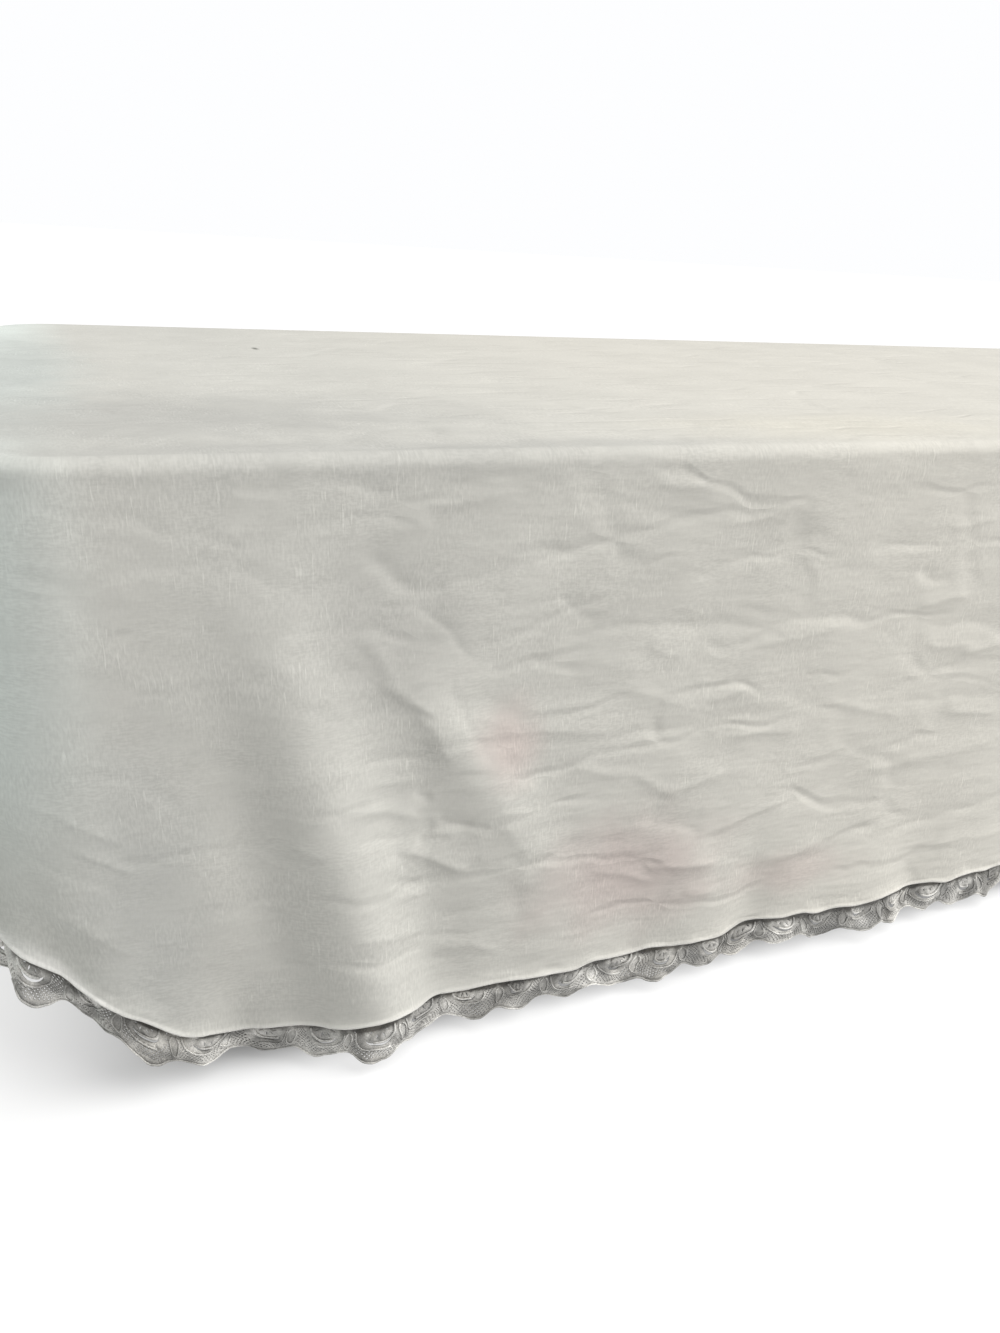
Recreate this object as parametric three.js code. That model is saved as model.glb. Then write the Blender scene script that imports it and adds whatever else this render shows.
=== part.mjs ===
// A lace-edged bedspread lying over a plain single bed. Millimetres, +Z up.
// X runs along the bed from its foot (-X) to its head (+X), Y across it, and the
// origin is on the floor under the middle of the bed. The front is the -Y side.
import * as THREE from "three";

// Bed
const BED_LENGTH = 1900;
const BED_WIDTH = 900;
const BED_CORNER_RADIUS = 70;
const BED_CORNER_STEPS = 8;
const MATTRESS_EDGE_RADIUS = 14;
const MATTRESS_DEPTH = 197.1;
const BASE_DEPTH = 150;
const PLINTH_HEIGHT = 130;
const PLINTH_SET_BACK = 120;
const PLINTH_CORNER_RADIUS = 30;
const SEAT_GAP = 0.3;
const BASE_BOTTOM = PLINTH_HEIGHT + SEAT_GAP;
const MATTRESS_BOTTOM = BASE_BOTTOM + BASE_DEPTH + SEAT_GAP;
const MATTRESS_TOP = MATTRESS_BOTTOM + MATTRESS_DEPTH;

// Bedspread cloth
const CLOTH_THICKNESS = 2;
const CLOTH_TOP = MATTRESS_TOP + SEAT_GAP + CLOTH_THICKNESS;
const EDGE_CLEARANCE = 2;
const EDGE_REACH = EDGE_CLEARANCE + CLOTH_THICKNESS;
const EDGE_STEPS = 2;
const SIDE_DROP = 435;
const END_DROP = 330;
const DROP_BLEND = 80;
const DROP_ROWS = [0.13, 0.28, 0.42, 0.56, 0.71, 0.86];
const FLARE_POWER = 1.25;
const HEM_DEPTH = 8;
const HEM_PROUD = 1.2;
const HEM_REACH = { front: 35, head: 30, back: 34, foot: 26 };
const CORNER_HEM_REACH = 14;
const REACH_BLEND = 190;

// Lace trim
const LACE_TIP = 28;
const LACE_VALLEY = 21;
const LACE_THICKNESS = 1.2;
const LACE_LAP = 6;
const LACE_LAP_GAP = 0.5;
const LACE_GAP_TOP = 9;
const LACE_GAP_BOTTOM = 15;
const SCALLOP_PITCH = 45;
const SCALLOP_COLUMNS = 3;
const GAP_COLUMN = 1;
const RUFFLE_POWER = 2.2;
const STRIP_END_SHARE = 0.012;

// Waves of the lace, a row each: "scallops" is a wave's length and "reach" its swing at the tip.
const RUFFLES = [
  { scallops: 3.1, reach: 5.2, phase: 0 },
  { scallops: 1.73, reach: 2.8, phase: 1.1 },
  { scallops: 5.7, reach: 2.4, phase: 2.3 },
];

// Folds of the falling cloth, a row each. "atTop" and "atHem" are places along the side
// from its left end as one faces it, so a fold leans where they differ. "start" and "full"
// are the shares of the drop where it begins and is grown, "width" its half width at the hem
// and "height" how far it stands out (a trough is negative).
const FOLDS = [
  { side: "front", atTop: 158, atHem: 261, start: 0.06, full: 0.7, width: 30, height: 18 },
  { side: "front", atTop: 125, atHem: 194, start: 0.22, full: 0.9, width: 19, height: -7 },
  { side: "front", atTop: 30, atHem: 40, start: 0.72, full: 1.05, width: 15, height: -11 },
  { side: "front", atTop: 145, atHem: 156, start: 0.76, full: 1.05, width: 17, height: -14 },
  { side: "front", atTop: 200, atHem: 428, start: 0.24, full: 0.52, width: 27, height: 9 },
  { side: "front", atTop: 200, atHem: 428, start: 0.52, full: 0.85, width: 27, height: -7 },
  { side: "front", atTop: 245, atHem: 304, start: 0.5, full: 1, width: 24, height: -9 },
  { side: "front", atTop: 430, atHem: 560, start: 0.3, full: 0.9, width: 38, height: 4 },
  { side: "front", atTop: 520, atHem: 490, start: 0.68, full: 1.05, width: 24, height: -4 },
  { side: "front", atTop: 600, atHem: 612, start: 0.7, full: 1.05, width: 20, height: -8 },
  { side: "front", atTop: 690, atHem: 745, start: 0.68, full: 1.1, width: 42, height: 7 },
  { side: "front", atTop: 815, atHem: 800, start: 0.7, full: 1.1, width: 22, height: -7 },
  { side: "front", atTop: 960, atHem: 990, start: 0.45, full: 1.1, width: 50, height: -12 },
  { side: "front", atTop: 1150, atHem: 1130, start: 0.4, full: 1.1, width: 60, height: 11 },
  { side: "front", atTop: 1390, atHem: 1360, start: 0.5, full: 1.1, width: 55, height: -10 },
  { side: "front", atTop: 1670, atHem: 1560, start: 0.2, full: 0.9, width: 42, height: 12 },
  { side: "front", atTop: 1765, atHem: 1680, start: 0.06, full: 0.75, width: 34, height: 19 },
  { side: "front", atTop: 1815, atHem: 1760, start: 0.3, full: 1.1, width: 30, height: -9 },
  { side: "head", atTop: 125, atHem: 205, start: 0.06, full: 0.75, width: 36, height: 20 },
  { side: "head", atTop: 70, atHem: 125, start: 0.3, full: 1.1, width: 30, height: -7 },
  { side: "head", atTop: 430, atHem: 450, start: 0.5, full: 1.1, width: 70, height: -9 },
  { side: "head", atTop: 780, atHem: 700, start: 0.08, full: 0.8, width: 38, height: 18 },
  { side: "back", atTop: 140, atHem: 225, start: 0.06, full: 0.75, width: 36, height: 20 },
  { side: "back", atTop: 85, atHem: 145, start: 0.3, full: 1.1, width: 30, height: -8 },
  { side: "back", atTop: 260, atHem: 385, start: 0.25, full: 0.9, width: 42, height: 10 },
  { side: "back", atTop: 640, atHem: 660, start: 0.5, full: 1.1, width: 60, height: -11 },
  { side: "back", atTop: 900, atHem: 880, start: 0.45, full: 1.1, width: 60, height: 10 },
  { side: "back", atTop: 1210, atHem: 1230, start: 0.5, full: 1.1, width: 60, height: -12 },
  { side: "back", atTop: 1630, atHem: 1530, start: 0.25, full: 0.9, width: 42, height: 11 },
  { side: "back", atTop: 1760, atHem: 1675, start: 0.06, full: 0.75, width: 36, height: 19 },
  { side: "foot", atTop: 120, atHem: 195, start: 0.08, full: 0.8, width: 38, height: 19 },
  { side: "foot", atTop: 460, atHem: 440, start: 0.45, full: 1.1, width: 70, height: 9 },
  { side: "foot", atTop: 770, atHem: 690, start: 0.08, full: 0.8, width: 38, height: 17 },
];
const FOLD_BOW = 0.8;
const FOLD_NARROW = 0.8;

// Every lace column also shapes the cloth this near a corner, and along the front's first folds.
const FINE_NEAR_CORNER = 120;
const FINE_ON_FRONT = 900;

const { smoothstep, lerp, euclideanModulo } = THREE.MathUtils;

// The bed's outline, walked anticlockwise seen from above, from the front's left end.
const CORNER_ARC = (BED_CORNER_RADIUS * Math.PI) / 2;
const SIDES = [
  { name: "front", length: BED_LENGTH, x: -1, y: -1, heading: 0 },
  { name: "head", length: BED_WIDTH, x: 1, y: -1, heading: Math.PI / 2 },
  { name: "back", length: BED_LENGTH, x: 1, y: 1, heading: Math.PI },
  { name: "foot", length: BED_WIDTH, x: -1, y: 1, heading: Math.PI * 1.5 },
];
let walked = 0;
for (const side of SIDES) {
  side.straight = side.length - 2 * BED_CORNER_RADIUS;
  side.start = walked;
  side.cornerMiddle = walked + side.straight + CORNER_ARC / 2;
  walked += side.straight + CORNER_ARC;
}
const OUTLINE_LENGTH = walked;

// The shortest way along the outline from one place to another, signed.
function wayAlong(from, to) {
  return euclideanModulo(to - from + OUTLINE_LENGTH / 2, OUTLINE_LENGTH) - OUTLINE_LENGTH / 2;
}

// The mattress edge at a place along the outline, and the way out from the bed there.
function outlineAt(place) {
  const s = euclideanModulo(place, OUTLINE_LENGTH);
  const side = SIDES.findLast((each) => s >= each.start);
  const along = Math.min(s - side.start, side.straight);
  const heading = side.heading + (s - side.start - along) / BED_CORNER_RADIUS;
  const out = new THREE.Vector3(Math.sin(heading), -Math.cos(heading), 0);
  const edge = new THREE.Vector3(
    side.x * (BED_LENGTH / 2 - BED_CORNER_RADIUS) + Math.cos(side.heading) * along,
    side.y * (BED_WIDTH / 2 - BED_CORNER_RADIUS) + Math.sin(side.heading) * along,
    0,
  ).addScaledVector(out, BED_CORNER_RADIUS);
  return { edge, out };
}

// The nearest corner, and how far past its middle a place lies (+ is on the side after it).
function nearestCorner(place) {
  const past = SIDES.map((side) => wayAlong(side.cornerMiddle, place));
  const distances = past.map(Math.abs);
  const index = distances.indexOf(Math.min(...distances));
  const before = SIDES[index];
  const after = SIDES[(index + 1) % SIDES.length];
  return { past: past[index], before, after, side: past[index] < 0 ? before : after };
}

// The cloth falls less at the ends, and the change is spread over the corner and the long side.
function dropAt(place) {
  const { past, before } = nearestCorner(place);
  const ontoEnd = before.length === BED_LENGTH ? past : -past;
  const share = smoothstep(ontoEnd, -CORNER_ARC / 2 - DROP_BLEND, CORNER_ARC / 2);
  return lerp(SIDE_DROP, END_DROP, share);
}

// How far the hem stands out from the bed before the folds are added.
function hemReachAt(place) {
  const { past, side } = nearestCorner(place);
  const share = smoothstep(Math.abs(past), CORNER_ARC / 4, REACH_BLEND);
  return lerp(CORNER_HEM_REACH, HEM_REACH[side.name], share);
}

function foldReach(fold, place, down) {
  const side = SIDES.find((each) => each.name === fold.side);
  const along = lerp(fold.atTop, fold.atHem, down ** FOLD_BOW);
  const middle = side.start - BED_CORNER_RADIUS + along;
  const width = fold.width * lerp(FOLD_NARROW, 1, down);
  const growth = smoothstep(down, fold.start, fold.full);
  const offset = wayAlong(middle, place) / width;
  return fold.height * growth * Math.exp(-0.5 * offset * offset);
}

// The cloth's outer face. "fall" runs from 0 to 1 over the rounded edge and on to 2 at the hem.
function clothPoint(place, fall) {
  const { edge, out } = outlineAt(place);
  const edgeCentre = MATTRESS_TOP - MATTRESS_EDGE_RADIUS;
  const edgeRadius = MATTRESS_EDGE_RADIUS + EDGE_REACH;
  if (fall < 1) {
    const angle = ((1 - fall) * Math.PI) / 2;
    const reach = edgeRadius * Math.cos(angle) - MATTRESS_EDGE_RADIUS;
    const height = Math.min(CLOTH_TOP, edgeCentre + edgeRadius * Math.sin(angle));
    return edge.addScaledVector(out, reach).setZ(height);
  }
  const down = fall - 1;
  let reach = lerp(EDGE_REACH, hemReachAt(place), down ** FLARE_POWER);
  for (const fold of FOLDS) {
    reach += foldReach(fold, place, down);
  }
  const height = lerp(edgeCentre, CLOTH_TOP - dropAt(place), down);
  return edge.addScaledVector(out, Math.max(reach, EDGE_REACH)).setZ(height);
}

function clothNormal(place, fall) {
  if (fall === 0) return new THREE.Vector3(0, 0, 1);
  const sideStep = 2;
  const fallStep = 0.02;
  const across = clothPoint(place + sideStep, fall).sub(clothPoint(place - sideStep, fall));
  const lower = clothPoint(place, Math.min(fall + fallStep, 2));
  const downward = lower.sub(clothPoint(place, fall - fallStep));
  return downward.cross(across).normalize();
}

// Places along the outline that lie an even part of a scallop apart, measured along the hem.
function hemPlaces() {
  const step = 2;
  const lengths = [0];
  for (let s = step; s <= OUTLINE_LENGTH; s += step) {
    const piece = clothPoint(s, 2).distanceTo(clothPoint(s - step, 2));
    lengths.push(lengths.at(-1) + piece);
  }
  const scallops = Math.round(lengths.at(-1) / SCALLOP_PITCH);
  const count = scallops * SCALLOP_COLUMNS;
  const places = [];
  for (let i = 0; i < count; i += 1) {
    const target = (lengths.at(-1) * i) / count;
    const after = Math.max(1, lengths.findIndex((length) => length > target));
    const share = (target - lengths[after - 1]) / (lengths[after] - lengths[after - 1]);
    places.push((after - 1 + share) * step);
  }
  return places;
}

function isFine(place) {
  const { past, side } = nearestCorner(place);
  const onFirstFolds = side.name === "front" && past > 0 && past < FINE_ON_FRONT;
  return Math.abs(past) < FINE_NEAR_CORNER || onFirstFolds;
}

// One closed body from two matching grids of points, columns anticlockwise and rows downward.
// "isOpen" leaves cells out, "closed" joins the last column to the first and "capped" fills
// the ring of the first row.
function sheetMesh(name, color, outer, inner, { isOpen = () => false, closed = false, capped = false }) {
  const columns = outer.length;
  const rows = outer[0].length;
  const positions = [...outer.flat(), ...inner.flat()].flatMap((point) => point.toArray());
  const index = [];
  const innerStart = columns * rows;
  const cells = closed ? columns : columns - 1;
  const at = (i, j) => (i % columns) * rows + j;
  const hasCell = (i, j) => {
    if (j < 0 || j >= rows - 1) return false;
    if (!closed && (i < 0 || i >= cells)) return false;
    return !isOpen(euclideanModulo(i, columns), j);
  };
  const wall = (from, to) => {
    index.push(to, from, from + innerStart, to, from + innerStart, to + innerStart);
  };
  for (let i = 0; i < cells; i += 1) {
    for (let j = 0; j < rows - 1; j += 1) {
      if (!hasCell(i, j)) continue;
      const [a, b, c, d] = [at(i, j), at(i, j + 1), at(i + 1, j + 1), at(i + 1, j)];
      index.push(a, b, c, a, c, d);
      for (const corner of [a, c, b, a, d, c]) index.push(corner + innerStart);
      if (!hasCell(i - 1, j)) wall(a, b);
      if (!hasCell(i, j + 1)) wall(b, c);
      if (!hasCell(i + 1, j)) wall(c, d);
      if (!hasCell(i, j - 1) && !(capped && j === 0)) wall(d, a);
    }
  }
  if (capped) {
    const middle = positions.length / 3;
    positions.push(0, 0, outer[0][0].z, 0, 0, inner[0][0].z);
    for (let i = 0; i < cells; i += 1) {
      index.push(at(i, 0), at(i + 1, 0), middle);
      index.push(at(i + 1, 0) + innerStart, at(i, 0) + innerStart, middle + 1);
    }
  }
  const geometry = new THREE.BufferGeometry();
  geometry.setAttribute("position", new THREE.Float32BufferAttribute(positions, 3));
  geometry.setIndex(index);
  geometry.computeVertexNormals();
  const mesh = new THREE.Mesh(geometry, new THREE.MeshStandardMaterial({ color, roughness: 0.9 }));
  mesh.name = name;
  return mesh;
}

// The cloth's two faces in one column. The last row is the rolled hem, a little proud outside.
function clothColumn(place) {
  const hemTop = 1 - HEM_DEPTH / dropAt(place);
  const edgeRows = Array.from({ length: EDGE_STEPS + 1 }, (_, i) => i / EDGE_STEPS);
  const falls = [...edgeRows, ...[...DROP_ROWS, hemTop, 1].map((down) => down + 1)];
  const outer = [];
  const inner = [];
  for (const fall of falls) {
    const normal = clothNormal(place, fall);
    const point = clothPoint(place, fall);
    inner.push(point.clone().addScaledVector(normal, -CLOTH_THICKNESS));
    outer.push(point.addScaledVector(normal, fall === 2 ? HEM_PROUD : 0));
  }
  const hemNormal = clothNormal(place, 2);
  return { place, outer, inner, hemNormal };
}

const places = hemPlaces();
const columnIndexes = places.map((_, i) => i).filter((i) => i % SCALLOP_COLUMNS === 0 || isFine(places[i]));
const clothColumns = columnIndexes.map((i) => clothColumn(places[i]));

function bedspread() {
  const outer = clothColumns.map((column) => column.outer);
  const inner = clothColumns.map((column) => column.inner);
  return sheetMesh("bedspread", 0xdcdbd5, outer, inner, { closed: true, capped: true });
}

// The hem's inner face at any lace column, on the flat facets between the cloth's own columns.
function hemInnerAt(position) {
  const wrapped = euclideanModulo(position, places.length);
  const slot = columnIndexes.findLastIndex((i) => i <= wrapped);
  const next = (slot + 1) % columnIndexes.length;
  const end = next === 0 ? places.length : columnIndexes[next];
  const share = (wrapped - columnIndexes[slot]) / (end - columnIndexes[slot]);
  const from = clothColumns[slot];
  const to = clothColumns[next];
  const bottom = from.inner.at(-1).clone().lerp(to.inner.at(-1), share);
  const top = from.inner.at(-2).clone().lerp(to.inner.at(-2), share);
  const normal = from.hemNormal.clone().lerp(to.hemNormal, share).normalize();
  const down = bottom.clone().sub(top).normalize();
  return { bottom, normal, down };
}

// A lace point a distance below the hem line; above it the lace lies behind the hem.
function lacePoint(position, below, depth) {
  const { bottom, normal, down } = hemInnerAt(position);
  const turn = (position / SCALLOP_COLUMNS) * 2 * Math.PI;
  const share = Math.max(below, 0) / LACE_TIP;
  let swing = 0;
  for (const ruffle of RUFFLES) {
    swing += ruffle.reach * Math.sin(turn / ruffle.scallops + ruffle.phase);
  }
  swing *= share ** RUFFLE_POWER;
  return bottom
    .addScaledVector(down, below)
    .addScaledVector(normal, swing - LACE_LAP_GAP - depth);
}

// One length of lace between two lace columns, with a gap cut through each scallop.
function laceStrip(name, first, last) {
  const outer = [];
  const inner = [];
  for (let i = first; i <= last; i += 1) {
    let position = i;
    if (i === first) position += STRIP_END_SHARE;
    if (i === last) position -= STRIP_END_SHARE;
    const edge = i % SCALLOP_COLUMNS === 0 ? LACE_VALLEY : LACE_TIP;
    const drops = [-LACE_LAP, LACE_GAP_TOP, LACE_GAP_BOTTOM, edge];
    outer.push(drops.map((below) => lacePoint(position, below, 0)));
    inner.push(drops.map((below) => lacePoint(position, below, LACE_THICKNESS)));
  }
  const isOpen = (i, j) => i % SCALLOP_COLUMNS === GAP_COLUMN && j === 1;
  return sheetMesh(name, 0x9a968c, outer, inner, { isOpen });
}

// The lace is sewn on in four lengths that meet at the corners.
function laceStrips() {
  const joins = SIDES.map((side) => {
    const distances = places.map((place) => Math.abs(wayAlong(side.cornerMiddle, place)));
    const nearest = distances.indexOf(Math.min(...distances));
    return Math.round(nearest / SCALLOP_COLUMNS) * SCALLOP_COLUMNS;
  });
  return SIDES.map((side, i) => {
    const first = i === 0 ? joins.at(-1) - places.length : joins[i - 1];
    return laceStrip(`lace_${side.name}`, first, joins[i]);
  });
}

function roundedOutline(length, width, radius) {
  const shape = new THREE.Shape();
  const x = length / 2 - radius;
  const y = width / 2 - radius;
  shape.absarc(x, y, radius, 0, Math.PI / 2);
  shape.absarc(-x, y, radius, Math.PI / 2, Math.PI);
  shape.absarc(-x, -y, radius, Math.PI, Math.PI * 1.5);
  shape.absarc(x, -y, radius, Math.PI * 1.5, Math.PI * 2);
  return shape;
}

// A plain slab of the bed, with its long edges rounded where a bevel is given.
function slab(name, color, { length, width, radius, bottom, depth, bevel = 0 }) {
  const outline = roundedOutline(length - 2 * bevel, width - 2 * bevel, radius - bevel);
  const geometry = new THREE.ExtrudeGeometry(outline, {
    depth: depth - 2 * bevel,
    curveSegments: BED_CORNER_STEPS,
    bevelEnabled: bevel > 0,
    bevelSize: bevel,
    bevelThickness: bevel,
    bevelSegments: EDGE_STEPS,
  });
  geometry.translate(0, 0, bottom + bevel);
  const mesh = new THREE.Mesh(geometry, new THREE.MeshStandardMaterial({ color, roughness: 0.85 }));
  mesh.name = name;
  return mesh;
}

const part = new THREE.Group();
part.add(bedspread());
part.add(...laceStrips());
part.add(
  slab("mattress", 0xe6e3da, {
    length: BED_LENGTH,
    width: BED_WIDTH,
    radius: BED_CORNER_RADIUS,
    bottom: MATTRESS_BOTTOM,
    depth: MATTRESS_DEPTH,
    bevel: MATTRESS_EDGE_RADIUS,
  }),
);
part.add(
  slab("bed_base", 0xb9b4a8, {
    length: BED_LENGTH,
    width: BED_WIDTH,
    radius: BED_CORNER_RADIUS,
    bottom: BASE_BOTTOM,
    depth: BASE_DEPTH,
  }),
);
part.add(
  slab("bed_plinth", 0x8a7358, {
    length: BED_LENGTH - 2 * PLINTH_SET_BACK,
    width: BED_WIDTH - 2 * PLINTH_SET_BACK,
    radius: PLINTH_CORNER_RADIUS,
    bottom: 0,
    depth: PLINTH_HEIGHT,
  }),
);

export default part;
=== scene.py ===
"""A lace-edged bedspread lying over a plain single bed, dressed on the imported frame.

Shapes are worked out in millimetres and scaled to metres when a mesh is made. X runs along
the bed from foot to head, the front is the -Y side, and the floor is at Z 0.
"""
import math

import bpy
import numpy as np
from mathutils import Matrix, Vector
from mathutils.geometry import delaunay_2d_cdt


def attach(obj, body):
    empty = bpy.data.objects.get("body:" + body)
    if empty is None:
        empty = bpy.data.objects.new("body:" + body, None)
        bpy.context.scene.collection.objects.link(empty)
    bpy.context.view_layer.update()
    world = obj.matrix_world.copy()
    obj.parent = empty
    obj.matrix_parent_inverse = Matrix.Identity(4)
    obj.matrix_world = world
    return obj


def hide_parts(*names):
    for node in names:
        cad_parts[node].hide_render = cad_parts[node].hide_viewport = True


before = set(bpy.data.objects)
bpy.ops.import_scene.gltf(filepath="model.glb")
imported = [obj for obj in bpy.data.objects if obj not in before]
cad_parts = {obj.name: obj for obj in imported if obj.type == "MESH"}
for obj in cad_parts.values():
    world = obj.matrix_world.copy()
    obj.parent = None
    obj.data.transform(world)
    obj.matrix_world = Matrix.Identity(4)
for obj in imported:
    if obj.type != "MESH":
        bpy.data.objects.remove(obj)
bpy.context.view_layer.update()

MM = 0.001

# Bed and cloth, the same values as the solids
BED_LENGTH = 1900.0
BED_WIDTH = 900.0
CORNER_RADIUS = 70.0
EDGE_ROUND = 11.0
CLOTH_TOP = 480.0
CLOTH_THICKNESS = 2.0
EDGE_REACH = 4.0
SIDE_DROP = 435.0
END_DROP = 330.0
DROP_BLEND = 80.0
FLARE_POWER = 1.25
FOLD_BOW = 0.8
FOLD_NARROW = 0.8
HEM_REACH = np.array([35.0, 30.0, 34.0, 26.0])
CORNER_HEM_REACH = 14.0
REACH_BLEND = 190.0

# Lace, the same values as the solids
LACE_TIP = 28.0
LACE_VALLEY = 21.0
LACE_LAP = 6.0
LACE_PITCH = 45.0
LACE_BEHIND = 2.7
RUFFLE_POWER = 2.2

# Waves of the lace, the same rows as the solids and made calmer by RUFFLE_CALM:
# length along the hem in scallops, reach, phase
RUFFLES = (
    (3.1, 5.2, 0.0),
    (1.73, 2.8, 1.1),
    (5.7, 2.4, 2.3),
)

# Folds of the falling cloth, the same rows as the solids:
# side, place at the top, place at the hem, start and full (shares of the drop), half width, height
FRONT, HEAD, BACK, FOOT = range(4)
FOLDS = (
    (FRONT, 158, 261, 0.06, 0.70, 30, 18),
    (FRONT, 125, 194, 0.22, 0.90, 19, -7),
    (FRONT, 30, 40, 0.72, 1.05, 15, -11),
    (FRONT, 145, 156, 0.76, 1.05, 17, -14),
    (FRONT, 200, 428, 0.24, 0.52, 27, 9),
    (FRONT, 200, 428, 0.52, 0.85, 27, -7),
    (FRONT, 245, 304, 0.50, 1.00, 24, -9),
    (FRONT, 430, 560, 0.30, 0.90, 38, 4),
    (FRONT, 520, 490, 0.68, 1.05, 24, -4),
    (FRONT, 600, 612, 0.70, 1.05, 20, -8),
    (FRONT, 690, 745, 0.68, 1.10, 42, 7),
    (FRONT, 815, 800, 0.70, 1.10, 22, -7),
    (FRONT, 960, 990, 0.45, 1.10, 50, -12),
    (FRONT, 1150, 1130, 0.40, 1.10, 60, 11),
    (FRONT, 1390, 1360, 0.50, 1.10, 55, -10),
    (FRONT, 1670, 1560, 0.20, 0.90, 42, 12),
    (FRONT, 1765, 1680, 0.06, 0.75, 34, 19),
    (FRONT, 1815, 1760, 0.30, 1.10, 30, -9),
    (HEAD, 125, 205, 0.06, 0.75, 36, 20),
    (HEAD, 70, 125, 0.30, 1.10, 30, -7),
    (HEAD, 430, 450, 0.50, 1.10, 70, -9),
    (HEAD, 780, 700, 0.08, 0.80, 38, 18),
    (BACK, 140, 225, 0.06, 0.75, 36, 20),
    (BACK, 85, 145, 0.30, 1.10, 30, -8),
    (BACK, 260, 385, 0.25, 0.90, 42, 10),
    (BACK, 640, 660, 0.50, 1.10, 60, -11),
    (BACK, 900, 880, 0.45, 1.10, 60, 10),
    (BACK, 1210, 1230, 0.50, 1.10, 60, -12),
    (BACK, 1630, 1530, 0.25, 0.90, 42, 11),
    (BACK, 1760, 1675, 0.06, 0.75, 36, 19),
    (FOOT, 120, 195, 0.08, 0.80, 38, 19),
    (FOOT, 460, 440, 0.45, 1.10, 70, 9),
    (FOOT, 770, 690, 0.08, 0.80, 38, 17),
)

# Small kicks of the hem that the solids leave out, in the same columns as the folds
HEM_KICKS = (
    (FRONT, 28, 29, 0.89, 1.0, 25, 4),
    (FRONT, 88, 90, 0.93, 1.0, 12, 3),
)

# Creases pressed into the cloth: from (along, down) to (along, down), width of the flank under the
# crease, and its depth, above 0 where that flank turns up to the light and below 0 where it turns down.
# Along is measured from the side's left end as one faces it, down from CREASES_FROM under the cloth's top.
CREASES_FROM = 5.0
CREASES = (
    (253, 63, 285, 90, 8, 2.2),
    (283, 90, 312, 92, 6, 1.4),
    (288, 98, 333, 144, 6, 1.0),
    (260, 51, 301, 47, 6, -0.8),
    (290, 95, 466, 59, 9, 0.7),
    (222, 121, 254, 148, 20, -0.6),
    (250, 116, 270, 158, 6, -1.4),
    (266, 155, 303, 186, 6, -1.8),
    (286, 182, 318, 228, 15, -2.1),
    (314, 172, 342, 232, 26, 2.2),
    (246, 217, 305, 214, 6, 1.3),
    (158, 227, 246, 218, 7, -0.8),
    (244, 231, 292, 238, 5, -0.9),
    (288, 247, 302, 253, 5, 1.5),
    (244, 250, 293, 265, 6, -1.5),
    (293, 287, 309, 274, 5, 1.8),
    (307, 273, 334, 280, 5, 1.8),
    (303, 284, 324, 287, 5, -1.0),
    (277, 288, 299, 300, 7, -2.6),
    (297, 299, 328, 316, 7, -2.8),
    (254, 300, 276, 302, 5, -0.9),
    (266, 314, 294, 319, 5, 1.5),
    (276, 330, 298, 332, 5, -1.2),
    (235, 351, 296, 367, 7, -1.3),
    (222, 372, 298, 386, 7, 1.3),
    (302, 390, 364, 396, 6, -1.4),
    (196, 271, 214, 282, 8, -1.3),
    (7, 276, 44, 267, 6, -0.7),
    (4, 296, 30, 293, 7, -0.8),
    (8, 378, 60, 360, 15, -1.1),
    (8, 318, 46, 322, 8, 0.5),
    (178, 130, 206, 150, 12, -0.9),
    (301, 31, 362, 29, 6, -1.2),
    (174, 16, 212, 18, 6, 0.9),
    (384, 75, 452, 63, 7, 1.3),
    (432, 39, 524, 54, 13, 1.0),
    (480, 20, 534, 26, 6, -1.3),
    (518, 100, 641, 67, 10, 1.9),
    (540, 60, 620, 44, 7, -0.9),
    (399, 101, 432, 132, 7, 1.0),
    (411, 141, 468, 131, 9, 1.6),
    (462, 131, 591, 144, 13, 2.2),
    (583, 144, 704, 143, 11, 1.9),
    (481, 151, 521, 163, 14, -1.2),
    (590, 161, 678, 151, 6, -1.5),
    (450, 182, 528, 210, 9, -1.0),
    (544, 196, 564, 187, 5, 1.6),
    (562, 187, 582, 193, 5, 1.5),
    (548, 204, 582, 199, 5, -1.5),
    (357, 211, 464, 217, 8, -1.4),
    (452, 224, 608, 222, 8, 1.5),
    (372, 247, 421, 246, 7, 1.5),
    (568, 236, 642, 240, 6, -1.5),
    (396, 244, 478, 262, 8, -1.1),
    (476, 262, 520, 286, 8, -1.3),
    (507, 281, 565, 271, 7, -1.8),
    (489, 305, 548, 324, 14, 2.2),
    (561, 325, 640, 308, 7, -2.4),
    (550, 334, 738, 288, 11, 1.5),
    (497, 346, 564, 355, 8, -2.8),
    (438, 343, 506, 361, 6, -1.5),
    (380, 330, 440, 312, 9, 1.5),
    (304, 363, 404, 352, 9, 1.3),
    (534, 378, 568, 382, 6, -1.4),
    (614, 371, 684, 356, 7, -2.0),
    (659, 382, 741, 348, 9, 1.8),
    (693, 85, 761, 83, 8, 1.6),
    (774, 72, 834, 64, 7, -1.6),
    (748, 109, 789, 121, 6, 1.7),
    (755, 139, 812, 133, 6, -1.9),
    (754, 158, 859, 163, 10, 1.8),
    (764, 176, 830, 182, 6, -1.5),
    (820, 188, 868, 183, 6, -1.8),
    (768, 198, 860, 206, 9, 1.4),
    (660, 214, 756, 245, 9, -1.2),
    (752, 230, 876, 234, 9, 1.3),
    (808, 246, 880, 252, 6, -1.4),
    (706, 297, 890, 284, 10, -1.4),
    (752, 365, 906, 349, 9, 1.5),
    (778, 382, 921, 391, 7, -1.2),
)

# Where the crease table is laid: side, shift along it, and 1 or -1 to mirror it
CREASE_LAYS = (
    (FRONT, 0, 1),
    (FRONT, 1830, -1),
    (HEAD, -60, 1),
    (BACK, 60, 1),
    (BACK, 1850, -1),
    (FOOT, 960, -1),
)

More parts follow.
